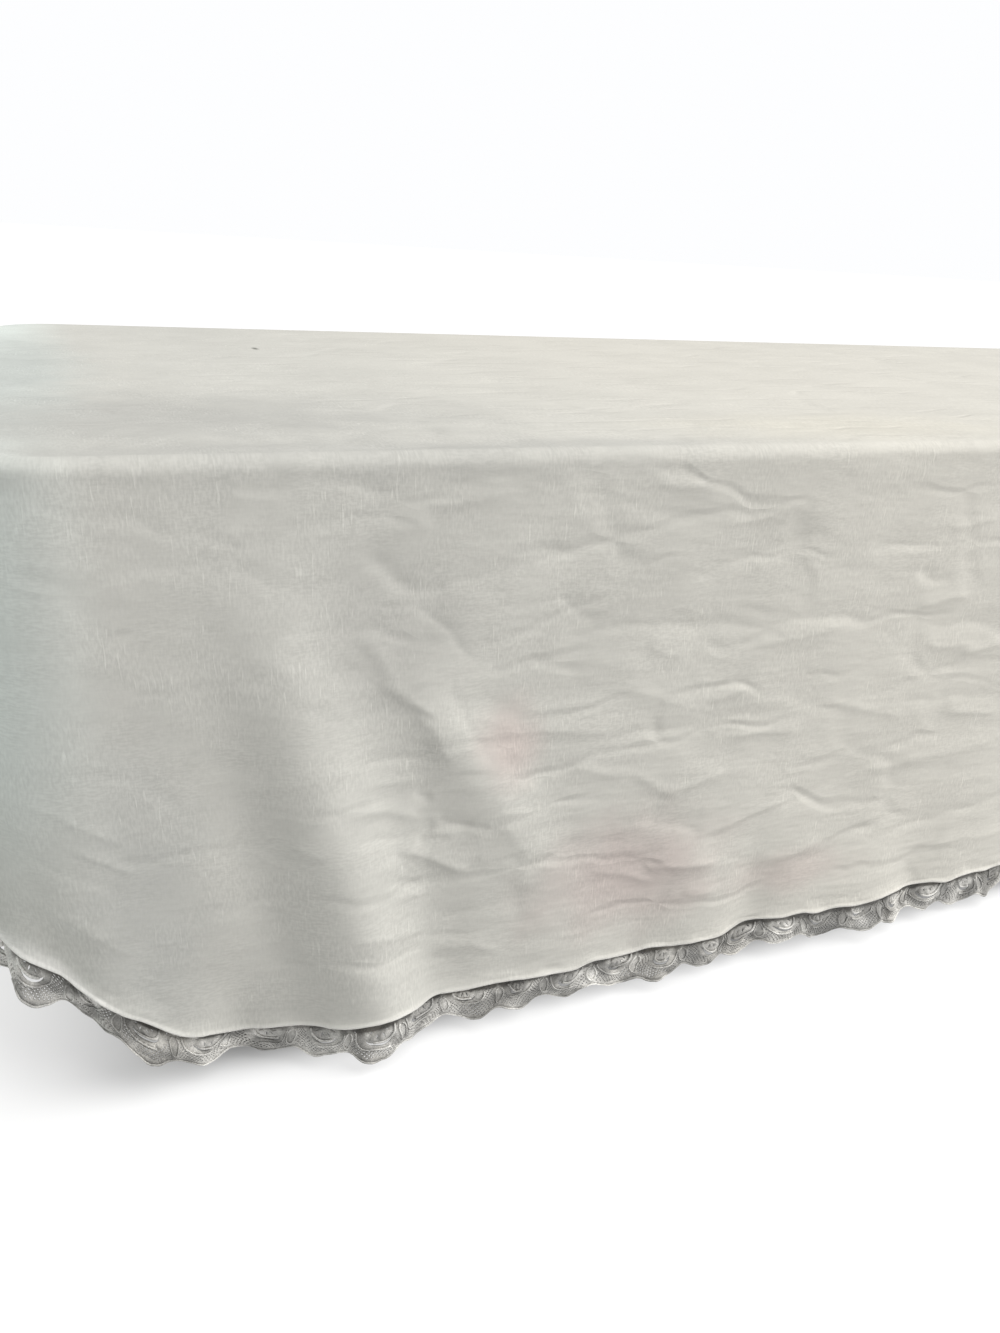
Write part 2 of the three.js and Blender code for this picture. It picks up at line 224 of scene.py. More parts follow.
# Creases on the top: from (x, y) to (x, y), flank width, depth
TOP_CREASES = (
    (-694, -244, -640, -210, 9, -0.9),
    (-641, -281, -596, -250, 8, -0.9),
    (-710, -410, -655, -362, 9, 1.2),
    (-619, -329, -616, -436, 8, 1.3),
    (-560, -300, -520, -430, 10, 0.8),
    (-330, -250, -180, -300, 14, 0.9),
    (-60, -360, 120, -310, 14, 0.9),
    (300, -120, 430, 40, 14, 1.0),
    (-420, 130, -250, 210, 14, 0.9),
    (560, -300, 720, -250, 12, 1.0),
    (600, 210, 690, 330, 13, 1.0),
    (60, 250, 230, 220, 14, 0.9),
)


def smooth(value, low, high):
    share = np.clip((value - low) / (high - low), 0.0, 1.0)
    return share * share * (3.0 - 2.0 * share)


def blend(a, b, share):
    return a + (b - a) * share


# The bed's outline, walked anticlockwise seen from above, from the front's left end
CORNER_ARC = CORNER_RADIUS * math.pi / 2
SIDE_LENGTHS = np.array([BED_LENGTH, BED_WIDTH, BED_LENGTH, BED_WIDTH])
SIDE_STRAIGHTS = SIDE_LENGTHS - 2 * CORNER_RADIUS
SIDE_STARTS = np.concatenate([[0.0], np.cumsum(SIDE_STRAIGHTS + CORNER_ARC)[:-1]])
SIDE_CORNERS = SIDE_STARTS + SIDE_STRAIGHTS + CORNER_ARC / 2
SIDE_ZEROS = SIDE_STARTS - CORNER_RADIUS
SIDE_HEADINGS = np.array([0.0, 0.5, 1.0, 1.5]) * math.pi
SIDE_X = np.array([-1.0, 1.0, 1.0, -1.0])
SIDE_Y = np.array([-1.0, -1.0, 1.0, 1.0])
OUTLINE_LENGTH = float(np.sum(SIDE_STRAIGHTS + CORNER_ARC))


def way_along(start, place):
    """The shortest way along the outline from one place to another, signed."""
    half = OUTLINE_LENGTH / 2
    return np.mod(place - start + half, OUTLINE_LENGTH) - half


def outline_at(place):
    """The mattress edge at places along the outline, and the way out from the bed there."""
    s = np.mod(place, OUTLINE_LENGTH)
    side = np.searchsorted(SIDE_STARTS, s, side="right") - 1
    along = np.minimum(s - SIDE_STARTS[side], SIDE_STRAIGHTS[side])
    heading = SIDE_HEADINGS[side]
    turned = heading + (s - SIDE_STARTS[side] - along) / CORNER_RADIUS
    out = np.stack([np.sin(turned), -np.cos(turned), np.zeros_like(turned)], axis=-1)
    x = SIDE_X[side] * (BED_LENGTH / 2 - CORNER_RADIUS) + np.cos(heading) * along
    y = SIDE_Y[side] * (BED_WIDTH / 2 - CORNER_RADIUS) + np.sin(heading) * along
    edge = np.stack([x, y, np.zeros_like(x)], axis=-1) + out * CORNER_RADIUS
    return edge, out


def nearest_corner(place):
    """How far past the nearest corner's middle a place lies, and that corner's number."""
    past = np.stack([way_along(corner, place) for corner in SIDE_CORNERS])
    index = np.argmin(np.abs(past), axis=0)
    return np.take_along_axis(past, index[None], axis=0)[0], index


def drop_at(place):
    past, corner = nearest_corner(place)
    onto_end = np.where(SIDE_LENGTHS[corner] == BED_LENGTH, past, -past)
    return blend(SIDE_DROP, END_DROP, smooth(onto_end, -CORNER_ARC / 2 - DROP_BLEND, CORNER_ARC / 2))


def hem_reach_at(place):
    past, corner = nearest_corner(place)
    side = np.where(past < 0, corner, (corner + 1) % 4)
    share = smooth(np.abs(past), CORNER_ARC / 4, REACH_BLEND)
    return blend(CORNER_HEM_REACH, HEM_REACH[side], share)


def fold_reach(place, down):
    reach = np.zeros(np.broadcast(place, down).shape)
    for side, at_top, at_hem, start, full, width, height in FOLDS + HEM_KICKS:
        middle = SIDE_ZEROS[side] + blend(at_top, at_hem, down**FOLD_BOW)
        growth = smooth(down, start, full)
        offset = way_along(middle, place) / (width * blend(FOLD_NARROW, 1.0, down))
        reach += height * growth * np.exp(-0.5 * offset * offset)
    return reach


def cloth_points(place, fall):
    """The cloth's outer face. Fall runs from 0 to 1 over the rounded edge and on to 2 at the hem."""
    place, fall = np.broadcast_arrays(np.asarray(place, float), np.asarray(fall, float))
    edge, out = outline_at(place)
    angle = (1.0 - np.minimum(fall, 1.0)) * math.pi / 2
    arc_reach = EDGE_REACH - EDGE_ROUND * (1.0 - np.cos(angle))
    arc_height = CLOTH_TOP - EDGE_ROUND * (1.0 - np.sin(angle))
    down = np.clip(fall - 1.0, 0.0, None)
    reach = blend(EDGE_REACH, hem_reach_at(place), down**FLARE_POWER) + fold_reach(place, down)
    height = blend(CLOTH_TOP - EDGE_ROUND, CLOTH_TOP - drop_at(place), down)
    falls_free = fall >= 1.0
    reach = np.where(falls_free, np.maximum(reach, EDGE_REACH), arc_reach)
    points = edge + out * reach[..., None]
    points[..., 2] = np.where(falls_free, height, arc_height)
    return points


def unit(vectors):
    return vectors / np.linalg.norm(vectors, axis=-1, keepdims=True)


def cloth_normals(place, fall):
    side_step = 2.0
    fall_step = 0.012
    across = cloth_points(place + side_step, fall) - cloth_points(place - side_step, fall)
    lower = cloth_points(place, np.minimum(fall + fall_step, 2.0))
    upper = cloth_points(place, np.maximum(fall - fall_step, 0.0))
    return unit(np.cross(lower - upper, across))


# Odd numbers that scatter the bits of a lattice point's column, row and seed, and of their sum
SCATTER = (374761393, 668265263, 1442695041, 1274126177)
WORD = 0xFFFFFFFF


def lattice_noise(x, y, seed, period=None):
    """Smooth noise from 0 to 1 on a unit lattice, repeating along x where a period is given."""
    column = np.floor(x).astype(np.int64)
    row = np.floor(y).astype(np.int64)
    share_x = smooth(x - column, 0.0, 1.0)
    share_y = smooth(y - row, 0.0, 1.0)

    def value(i, j):
        i = np.mod(i, period) if period else i
        mixed = (i * SCATTER[0] + j * SCATTER[1] + seed * SCATTER[2]) & WORD
        mixed = ((mixed ^ (mixed >> 13)) * SCATTER[3]) & WORD
        return (mixed ^ (mixed >> 16)) / (WORD + 1)

    upper = blend(value(column, row), value(column + 1, row), share_x)
    lower = blend(value(column, row + 1), value(column + 1, row + 1), share_x)
    return blend(upper, lower, share_y)


def uneven(x, y, reach, length, depth, seed):
    """Noise to both sides of 0, in cells of the given length and depth."""
    return reach * (lattice_noise(x / length, y / depth, seed) - 0.5)


def ridged(noise):
    """Noise from 0 to 1 turned into sharp crests and troughs, from -1 to 1."""
    return 1.0 - 2.0 * np.abs(2.0 * noise - 1.0)


def shallow_troughs(height, limit):
    return np.where(height < 0.0, limit * np.tanh(height / limit), height)


# Form of every crease: shares of its row's width and depth, its crest, and where it tapers
CREASE_WIDTH = 0.56
CREASE_DEPTH = 1.12
CREST_POWER = 1.1
CREST_SHIFT = 0.5
SPREAD_ABOVE = 2.2
TAPER_IN = (-0.1, 0.22)
TAPER_OUT = (0.78, 1.1)
# How far a crease wanders: reach, length, depth, seed
WANDER_X = (7.0, 24.0, 24.0, 31)
WANDER_Y = (7.0, 24.0, 24.0, 32)


def crease_height(x, y, rows):
    """The sum of a table's creases at points of the plane they are laid in, each wandering a little."""
    x = x + uneven(x, y, *WANDER_X)
    y = y + uneven(x, y, *WANDER_Y)
    height = np.zeros(np.broadcast(x, y).shape)
    for x0, y0, x1, y1, flank_width, light in rows:
        width = CREASE_WIDTH * flank_width
        length = math.hypot(x1 - x0, y1 - y0)
        run_x = (x1 - x0) / length
        run_y = (y1 - y0) / length
        share = ((x - x0) * run_x + (y - y0) * run_y) / length
        across = (y - y0) * run_x - (x - x0) * run_y + CREST_SHIFT * width
        taper = smooth(share, *TAPER_IN) * (1.0 - smooth(share, *TAPER_OUT))
        flank = np.abs(across) / (width * np.where(across < 0.0, SPREAD_ABOVE, 1.0))
        ridge = np.exp(-(flank**CREST_POWER))
        height -= CREASE_DEPTH * light * taper * ridge
    return height


# Fine wrinkles of the skirt: seed, length and depth of one wrinkle, height, slant (rise over run)
WRINKLES = (
    (11, 130.0, 44.0, 0.30, 0.10),
    (12, 52.0, 19.0, 0.16, 0.22),
    (13, 38.0, 16.0, 0.13, -0.16),
    (14, 24.0, 11.0, 0.08, 0.30),
)
SLANT_TURNS = 7
SLANT_PHASE = 0.25
CREASED_ALONG = (210.0, 420.0)
SMOOTH_SHARE = 0.5


def skirt_wrinkles(place, down):
    around = way_along(SIDE_STARTS[FRONT] + SIDE_STRAIGHTS[FRONT] / 2, place) + OUTLINE_LENGTH / 2
    turn = around / OUTLINE_LENGTH
    saw = np.abs(np.mod(SLANT_TURNS * turn + SLANT_PHASE, 1.0) - 0.5) * 2.0
    height = np.zeros(np.broadcast(place, down).shape)
    for seed, length, depth, rise, slant in WRINKLES:
        cells = round(OUTLINE_LENGTH / length)
        slanted = down + slant * OUTLINE_LENGTH / SLANT_TURNS / 2 * smooth(saw, 0.0, 1.0)
        height += rise * ridged(lattice_noise(turn * cells, slanted / depth, seed, cells))
    along_front = way_along(SIDE_ZEROS[FRONT], place)
    on_front = along_front > -OUTLINE_LENGTH / 4
    creased = np.where(on_front, smooth(along_front, *CREASED_ALONG), 1.0)
    return height * blend(SMOOTH_SHARE, 1.0, creased)


# Near the hem: no creases, a puckered flare, an uneven edge, and a painted highlight along the edge that
# widens at one corner
HEM_STILL = (10.0, 30.0)
HEM_FLARE = 2.0
HEM_FLARE_DEPTH = 14.0
PUCKER_LENGTH = 17.0
PUCKER_RANGE = (0.3, 0.8)
PUCKER_SEED = 41
HEM_WOBBLE = 4.4
WOBBLE_LENGTH = 20.0
WOBBLE_DEPTH = 26.0
WOBBLE_SEED = 42
HEM_HIGHLIGHT_DEPTH = 4.0
CORNER_HIGHLIGHT_DEPTH = 19.0
CORNER_HIGHLIGHT_ALONG = 24.0
CORNER_HIGHLIGHT_HALF_WIDTH = 30.0
EDGE_STILL = (0.1, 1.0)
TROUGH_LIMIT = 1.6
DEEP_TROUGH_LIMIT = 4.5
DEEP_TROUGHS = (40.0, 120.0)


def noise_around(place, down, length, seed):
    """Noise in cells of about the given length, which joins up round the outline."""
    cells = round(OUTLINE_LENGTH / length)
    turn = np.mod(place, OUTLINE_LENGTH) / OUTLINE_LENGTH
    return lattice_noise(turn * cells, down / length, seed, cells)


def near_hem(place, down, depth):
    """From 0 at the given height above the hem to 1 at the hem."""
    drop = drop_at(place)
    return smooth(down, drop - depth, drop)


def hem_wobble(place, down):
    """How far the hem's small unevenness lifts the cloth near it."""
    wobble = noise_around(place, np.zeros_like(place), WOBBLE_LENGTH, WOBBLE_SEED) - 0.5
    return HEM_WOBBLE * wobble * near_hem(place, down, WOBBLE_DEPTH)


def hem_highlight(place, down):
    """The cloth's share of the painted highlight along the hem edge."""
    past = way_along(SIDE_ZEROS[FRONT] + CORNER_HIGHLIGHT_ALONG, place) / CORNER_HIGHLIGHT_HALF_WIDTH
    return near_hem(place, down, HEM_HIGHLIGHT_DEPTH + CORNER_HIGHLIGHT_DEPTH * np.exp(-(past**2)))


def skirt_relief(place, fall, down):
    """How far the creases and wrinkles lift the falling cloth off its folds."""
    drop = drop_at(place)
    scaled = down * SIDE_DROP / drop - CREASES_FROM
    height = skirt_wrinkles(place, down)
    for side, shift, mirror in CREASE_LAYS:
        along = mirror * way_along(SIDE_ZEROS[side] + shift, place)
        height = height + crease_height(along, scaled, CREASES)
    height = shallow_troughs(height, blend(TROUGH_LIMIT, DEEP_TROUGH_LIMIT, smooth(down, *DEEP_TROUGHS)))
    still = smooth(fall, *EDGE_STILL) * smooth(drop - down, *HEM_STILL)
    pucker = smooth(noise_around(place, down, PUCKER_LENGTH, PUCKER_SEED), *PUCKER_RANGE)
    return height * still + HEM_FLARE * pucker * near_hem(place, down, HEM_FLARE_DEPTH)


# Top wrinkles: seed, length, depth of one wrinkle, height
TOP_WRINKLES = (
    (21, 150.0, 60.0, 0.8),
    (22, 60.0, 26.0, 0.45),
)
TOP_SLANT = 0.35
TOP_STILL = 14.0


def edge_distance(x, y):
    """How far a point of the top lies inside the ring where the cloth starts to round over."""
    inner = CORNER_RADIUS + EDGE_REACH - EDGE_ROUND
    past_x = np.abs(x) - (BED_LENGTH / 2 - CORNER_RADIUS)
    past_y = np.abs(y) - (BED_WIDTH / 2 - CORNER_RADIUS)
    outside = np.hypot(np.maximum(past_x, 0.0), np.maximum(past_y, 0.0))
    return inner - outside - np.minimum(np.maximum(past_x, past_y), 0.0)


def top_relief(x, y):
    height = crease_height(x, y, TOP_CREASES)
    for seed, length, depth, rise in TOP_WRINKLES:
        height += rise * ridged(lattice_noise((x + TOP_SLANT * y) / length, y / depth, seed))
    return shallow_troughs(height, TROUGH_LIMIT) * smooth(edge_distance(x, y), 0.0, TOP_STILL)


def add_mesh(name, points, faces, face_uvs=None, tones=None):
    """A smooth-shaded mesh object from points in millimetres."""
    mesh = bpy.data.meshes.new(name)
    mesh.from_pydata((np.asarray(points) * MM).tolist(), [], faces)
    if face_uvs is not None:
        layer = mesh.uv_layers.new(name="cloth")
        layer.data.foreach_set("uv", (np.asarray(face_uvs, np.float32) * MM).ravel())
    if tones is not None:
        attribute = mesh.attributes.new("tone", "FLOAT", "POINT")
        attribute.data.foreach_set("value", np.asarray(tones, np.float32))
    mesh.shade_smooth()
    piece = bpy.data.objects.new(name, mesh)
    bpy.context.collection.objects.link(piece)
    return piece


# Bedspread cloth: how close its columns and rows of points stand
SEEN_FROM = -110.0
SEEN_TO = 960.0
SEEN_STEPS = ((215.0, 5.2), (345.0, 2.7), (700.0, 3.8), (SEEN_TO, 5.0))
PLAIN_STEP = 16.0
PLAIN_ROWS = 3
SEEN_MARGIN = 1.0
LEAST_LAST_STEP = 0.3 * PLAIN_STEP
CORNER_STEP = 6.5
CORNER_NEAR = 90.0
EDGE_ROWS = 6
DROP_ROWS = 204
INNER_FALLS = (0.0, 0.5, 1.0, 1.08, 1.18, 1.32, 1.5, 1.7, 1.86, 1.94, 2.0)
INNER_SLACK = 3.0
SLACK_IN = (0.06, 0.3)
SLACK_OUT = (0.86, 0.94)
# The rolled hem: where it starts, then each row's height above the hem line and how proud it stands
HEM_ROLL = 4.6
HEM_PROFILE = ((4.0, 0.2), (3.0, 0.9), (2.0, 1.3), (1.0, 1.1), (0.2, 0.2), (0.0, -0.9))


def is_seen(place):
    along_front = way_along(0.0, place)
    return (along_front >= SEEN_FROM - SEEN_MARGIN) & (along_front <= SEEN_TO)


def column_places():
    places = []
    place = SEEN_FROM
    while place < SEEN_FROM + OUTLINE_LENGTH - LEAST_LAST_STEP:
        places.append(place)
        past, _ = nearest_corner(np.array([place]))
        if place <= SEEN_TO:
            place += next(step for until, step in SEEN_STEPS if place <= until)
        elif abs(past[0]) < CORNER_NEAR:
            place += CORNER_STEP
        else:
            place += PLAIN_STEP
    return np.array(places)


def outer_rows(places):
    """For each row: every column's fall, how proud it stands, and if only seen columns have it."""
    straight = drop_at(places) - EDGE_ROUND
    rolled = 1.0 - HEM_ROLL / straight
    rows = [(np.full_like(places, k / EDGE_ROWS), 0.0, False) for k in range(EDGE_ROWS)]
    rows += [(1.0 + k / DROP_ROWS * rolled, 0.0, k % PLAIN_ROWS != 0) for k in range(DROP_ROWS + 1)]
    return rows + [(2.0 - above / straight, proud, False) for above, proud in HEM_PROFILE]


def outer_skirt(places):
    """Points of the outer face, how far down each is, its share of the painted hem highlight, and their
    numbers.
    """
    falls, proud, only_seen = (np.array(column) for column in zip(*outer_rows(places)))
    present = is_seen(places) | ~only_seen[:, None]
    numbers = np.where(present, np.cumsum(present).reshape(present.shape) - 1, -1)
    place = np.broadcast_to(places, present.shape)[present]
    fall = falls[present]
    base = cloth_points(place, fall)
    down = CLOTH_TOP - base[:, 2]
    lift = skirt_relief(place, fall, down) + np.broadcast_to(proud[:, None], present.shape)[present]
    points = base + cloth_normals(place, fall) * lift[:, None]
    points[:, 2] += hem_wobble(place, down)
    return points, down, hem_highlight(place, down), numbers


def inner_skirt(places):
    points = []
    for fall in reversed(INNER_FALLS):
        down = fall - 1.0
        slack = INNER_SLACK * smooth(down, *SLACK_IN) * (1.0 - smooth(down, *SLACK_OUT))
        normals = cloth_normals(places, fall)
        if fall == 0.0:
            normals[:] = (0.0, 0.0, 1.0)
        points.append(cloth_points(places, fall) - normals * (CLOTH_THICKNESS + slack))
    return np.array(points)


# Points of the top: how far apart they stand, and how far from its ring
TOP_STEP = 16.0
TOP_FINE_STEP = 7.5
TOP_FINE_DEPTH = 130.0
RING_CLEARANCE = 0.55


def top_interior():
    """Points inside the top's ring, closer together along the front that the photograph shows."""
    half_x = BED_LENGTH / 2
    half_y = BED_WIDTH / 2
    found = []
    for step, is_fine in ((TOP_STEP, False), (TOP_FINE_STEP, True)):
        row_step = step * math.sqrt(3) / 2
        for row in range(int(BED_WIDTH / row_step) + 1):
            y = -half_y + row * row_step
            x = np.arange(-half_x + (row % 2) * step / 2, half_x, step)
            fine_zone = (x < SEEN_TO - half_x) & (y < -half_y + TOP_FINE_DEPTH)
            clear = edge_distance(x, y) > RING_CLEARANCE * step
            found.extend((float(px), y) for px in x[clear & (fine_zone == is_fine)])
    return np.array(found)


MERGE_WITHIN = 1e-7


def triangulate(points, loops):
    edges = []
    for loop in loops:
        edges.extend((loop[i], loop[(i + 1) % len(loop)]) for i in range(len(loop)))
    result = delaunay_2d_cdt([Vector(point) for point in points], edges, [], 0, MERGE_WITHIN)
    vertices = np.array([(v.x, v.y) for v in result[0]])
    return vertices, [list(face) for face in result[2]], result[3]


def skirt_cells(numbers):
    """Cells between neighbouring columns, as (point, is in the next column). Finer columns add corners."""
    rows, columns = numbers.shape
    for i in range(columns):
        after = (i + 1) % columns
        last = 0
        for j in range(1, rows):
            near, far = numbers[j, i] >= 0, numbers[j, after] >= 0
            if near and far:
                ahead = range(last, j + 1)
                left = [(numbers[k, i], False) for k in ahead if numbers[k, i] >= 0]
                right = [(numbers[k, after], True) for k in reversed(ahead) if numbers[k, after] >= 0]
                yield i, left + right
                last = j


def make_bedspread():
    places = column_places()
    columns = len(places)
    outer, down, pale, numbers = outer_skirt(places)
    inner = inner_skirt(places)
    inner_numbers = len(outer) + np.arange(len(inner) * columns).reshape(len(inner), columns)
    numbers = np.concatenate([numbers, inner_numbers])
    skirt = np.concatenate([outer, inner.reshape(-1, 3)])
    down = np.concatenate([down, CLOTH_TOP - inner[:, :, 2].ravel()])
    along = np.append(places, places[0] + OUTLINE_LENGTH)
    points = [tuple(point) for point in skirt]
    faces = []
    uvs = []
    for i, corners in skirt_cells(numbers):
        faces.append(tuple(number for number, _ in corners))
        uvs.extend((along[i + is_next], -down[number]) for number, is_next in corners)
    plan_shift = np.array([BED_LENGTH / 2 - CORNER_RADIUS, BED_WIDTH / 2 + EDGE_REACH])
    ring = list(range(columns))
    for row, interior, is_outer in ((0, top_interior(), True), (-1, np.empty((0, 2)), False)):
        plan = np.concatenate([skirt[numbers[row], :2], interior])
        vertices, triangles, origins = triangulate(plan, [ring])
        heights = CLOTH_TOP + top_relief(vertices[:, 0], vertices[:, 1])
        renumbered = {}
        for k, sources in enumerate(origins):
            if sources[0] < columns:
                renumbered[k] = numbers[row, sources[0]]
            else:
                renumbered[k] = len(points)
                points.append((*vertices[k], heights[k]))
        for triangle in triangles:
            corners = triangle if is_outer else triangle[::-1]
            faces.append(tuple(renumbered[k] for k in corners))
            uvs.extend(tuple(vertices[k] + plan_shift) for k in corners)
    # The cloth's tone attribute carries its share of the painted hem highlight
    tones = np.zeros(len(points))
    tones[: len(pale)] = pale
    return add_mesh("bedspread_cloth", points, faces, face_uvs=uvs, tones=tones)


# The hem that carries the lace, sampled along its length
HEM_STEP = 2.0
HEM_FALL = 2.0
ABOVE_HEM_FALL = 1.97
hem_places = np.arange(0.0, OUTLINE_LENGTH + HEM_STEP, HEM_STEP)
hem_points = cloth_points(hem_places, HEM_FALL)
hem_lengths = np.concatenate([[0.0], np.cumsum(np.linalg.norm(np.diff(hem_points, axis=0), axis=1))])
HEM_LENGTH = float(np.interp(OUTLINE_LENGTH, hem_places, hem_lengths))
hem_normals = cloth_normals(hem_places, HEM_FALL)
hem_downs = unit(hem_points - cloth_points(hem_places, ABOVE_HEM_FALL))
SCALLOPS = round(HEM_LENGTH / LACE_PITCH)
SCALLOP_PITCH = HEM_LENGTH / SCALLOPS

# Lace worked out flat: (along the hem, below the hem line, out of its face)
SCALLOP_POWER = 1.4
LACE_SHEET = 0.8
# Fans of the pattern: middle as a share of the repeat, half width, depth
FANS = (
    (0.50, 12.0, 9.0),
    (0.40, 9.0, 7.5),
    (0.56, 14.0, 10.5),
    (0.60, 8.0, 11.0),
)
FAN_CENTRE_DROP = 2.0
# The opening under each fan, from one angle round it to another
CRESCENT_ANGLES = (40.0, 140.0)
CRESCENT_POINTS = 11
CRESCENT_OFF = 1.2
CRESCENT_DEPTH = 2.6
CRESCENT_POWER = 0.7
CRESCENT_WIDEN = 0.6
# Slits along the rays of each fan
FAN_SLITS = 4
SLIT_ANGLES = (28.0, 152.0)
SLIT_PLACE = 0.6
SLIT_IN = 2.3
SLIT_OUT = 2.6
SLIT_HALF_WIDTH = 0.5
# The leaf between two fans
LEAF_HALF_WIDTH = 4.0
LEAF_HALF_DEPTH = 6.6
LEAF_DROP = 11.5
# The net's holes, and how far they keep from what is round them
NET_PITCH = 3.0
NET_ROW = 1.5
NET_ROWS = 18
NET_DROP = 4.2
NET_HOLE = 0.8
NET_START = 1.5
NET_END = 1.4
NET_OFF_EDGE = 2.0
NET_OFF_FAN = 3.4
NET_LEAF_SHARE = 1.32


def scallop_edge(q):
    bow = np.abs(np.sin(math.pi * q / SCALLOP_PITCH)) ** SCALLOP_POWER
    return LACE_VALLEY + (LACE_TIP - LACE_VALLEY) * bow


def fan_of(repeat):
    """Which fan a repeat has, in an order that does not look regular."""
    return (3 * repeat * repeat + repeat) // 2 % len(FANS)


def fan_arc(fan, angles, widen, deepen):
    """Points round a fan made wider and deeper, at angles in degrees."""
    middle, width, depth = FANS[fan]
    radians = np.radians(angles)
    q = SCALLOP_PITCH * middle + (width + widen) * np.cos(radians)
    return np.stack([q, FAN_CENTRE_DROP + (depth + deepen) * np.sin(radians)], axis=-1)


def crescent(fan):
    angles = np.linspace(*CRESCENT_ANGLES, CRESCENT_POINTS)
    share = (angles - angles[0]) / (angles[-1] - angles[0])
    swell = CRESCENT_DEPTH * np.sin(np.pi * share) ** CRESCENT_POWER
    lower = fan_arc(fan, angles, CRESCENT_OFF + CRESCENT_WIDEN * swell, CRESCENT_OFF + swell)
    upper = fan_arc(fan, angles[::-1], CRESCENT_OFF, CRESCENT_OFF)
    return np.concatenate([lower, upper[1:-1]])


def fan_slits(fan):
    across, width, depth = FANS[fan]
    loops = []
    for angle in np.radians(np.linspace(*SLIT_ANGLES, FAN_SLITS)):
        ray = np.array([math.cos(angle), math.sin(angle)])
        side = np.array([-ray[1], ray[0]]) * SLIT_HALF_WIDTH
        reach = ray * np.array([width, depth]) * SLIT_PLACE
        at = np.array([SCALLOP_PITCH * across, FAN_CENTRE_DROP]) + reach
        loops.append(np.array([at - ray * SLIT_IN, at + side, at + ray * SLIT_OUT, at - side]))
    return loops


def leaf_share(q, w):
    from_edge = np.minimum(q, SCALLOP_PITCH - q)
    return np.hypot(from_edge / LEAF_HALF_WIDTH, (w - LEAF_DROP) / LEAF_HALF_DEPTH)


def fan_share(q, w, fan, widen):
    middle, width, depth = FANS[fan]
    return np.hypot((q - SCALLOP_PITCH * middle) / (width + widen), (w - FAN_CENTRE_DROP) / (depth + widen))


def net_holes(fan):
    loops = []
    reach = np.array([[NET_HOLE, 0.0], [0.0, NET_HOLE], [-NET_HOLE, 0.0], [0.0, -NET_HOLE]])
    for row in range(NET_ROWS):
        w = NET_DROP + row * NET_ROW
        for q in np.arange(NET_START + (row % 2) * NET_PITCH / 2, SCALLOP_PITCH - NET_END, NET_PITCH):
            by_edge = w + NET_HOLE + NET_OFF_EDGE > scallop_edge(q)
            by_fan = fan_share(q, w, fan, CRESCENT_DEPTH + NET_OFF_FAN) < 1.0
            by_leaf = leaf_share(q, w) < NET_LEAF_SHARE
            if not (by_edge or by_fan or by_leaf):
                loops.append(np.array([q, w]) + reach)
    return loops


def inside_loop(points, loop):
    inside = np.zeros(len(points), bool)
    for (x0, y0), (x1, y1) in zip(loop, np.roll(loop, -1, axis=0)):
        if y0 == y1:
            continue
        crosses = (points[:, 1] < y0) != (points[:, 1] < y1)
        at = x0 + (points[:, 1] - y0) * (x1 - x0) / (y1 - y0)
        inside ^= crosses & (points[:, 0] < at)
    return inside


# A repeat's border and ties, and its tones: the heading by the hem is darkest, a painted shadow of the hem
# over the lace
SIDE_DROPS = (-LACE_LAP, 0.0, 5.0, 11.5, 17.0)
EDGE_POINTS = 27
HEADING_STEPS = 6
TIE_STEPS = 12
TIE_DROPS = (0.0, 3.0)
NET_TONE = 0.2
FAN_TONE = 0.5
FAN_BORDER = 1.5
LEAF_BORDER_SHARE = 1.15
HEADING_SHADOW_TONE = -1.0
HEADING_SHADOW_DROPS = (2.6, 6.5)


def lace_tile(fan):
    """One repeat of the lace, flat: its points, triangles and tones. Both sides have the same points."""
    pitch = SCALLOP_PITCH
    edge_q = np.linspace(0.0, pitch, EDGE_POINTS)
    outline = list(zip(edge_q, scallop_edge(edge_q)))
    outline += [(pitch, w) for w in reversed(SIDE_DROPS)]
    outline += [(pitch * k / HEADING_STEPS, -LACE_LAP) for k in range(HEADING_STEPS - 1, 0, -1)]
    outline += [(0.0, w) for w in SIDE_DROPS]
    holes = [crescent(fan), *fan_slits(fan), *net_holes(fan)]
    loops = []
    points = []
    for loop in [outline, *holes]:
        loops.append(list(range(len(points), len(points) + len(loop))))
        points.extend(tuple(p) for p in loop)
    for w in TIE_DROPS:
        points.extend((pitch * k / TIE_STEPS, w) for k in range(1, TIE_STEPS))
    vertices, triangles, _ = triangulate(points, loops)
    middles = vertices[np.array(triangles)].mean(axis=1)
    keep = inside_loop(middles, outline)
    for hole in holes:
        keep &= ~inside_loop(middles, hole)
    triangles = [triangle for triangle, kept in zip(triangles, keep) if kept]
    tones = np.full(len(vertices), NET_TONE)
    q, w = vertices[:, 0], vertices[:, 1]
    tones[fan_share(q, w, fan, FAN_BORDER) < 1.0] = FAN_TONE
    tones[leaf_share(q, w) < LEAF_BORDER_SHARE] = FAN_TONE
    # Painted shadow of the hem: the heading's tone falls to the darkest
    tones += (HEADING_SHADOW_TONE - tones) * (1.0 - smooth(w, *HEADING_SHADOW_DROPS))
    return vertices, triangles, tones


CORD_SIDES = 5
WELD_STEPS = 200


def cord(path, radius, lift, tone):
    """A round cord along a flat path, closed at both ends: its points, faces and tones."""
    run = unit(np.gradient(path, axis=0))
    angle = 2 * math.pi * np.arange(CORD_SIDES) / CORD_SIDES
    wide = radius * np.cos(angle)
    q = path[:, :1] - run[:, 1:] * wide
    w = path[:, 1:] + run[:, :1] * wide
    rise = np.broadcast_to(lift + radius * np.sin(angle), q.shape)
    points = np.stack([q, w, rise], axis=-1).reshape(-1, 3)
    rings = np.arange(len(points)).reshape(-1, CORD_SIDES)
    after = np.roll(rings, -1, axis=1)
    sides = np.stack([rings[:-1], after[:-1], after[1:], rings[1:]], axis=-1).reshape(-1, 4)
    return points, [rings[0, ::-1], *sides, rings[-1]], [tone] * len(points)


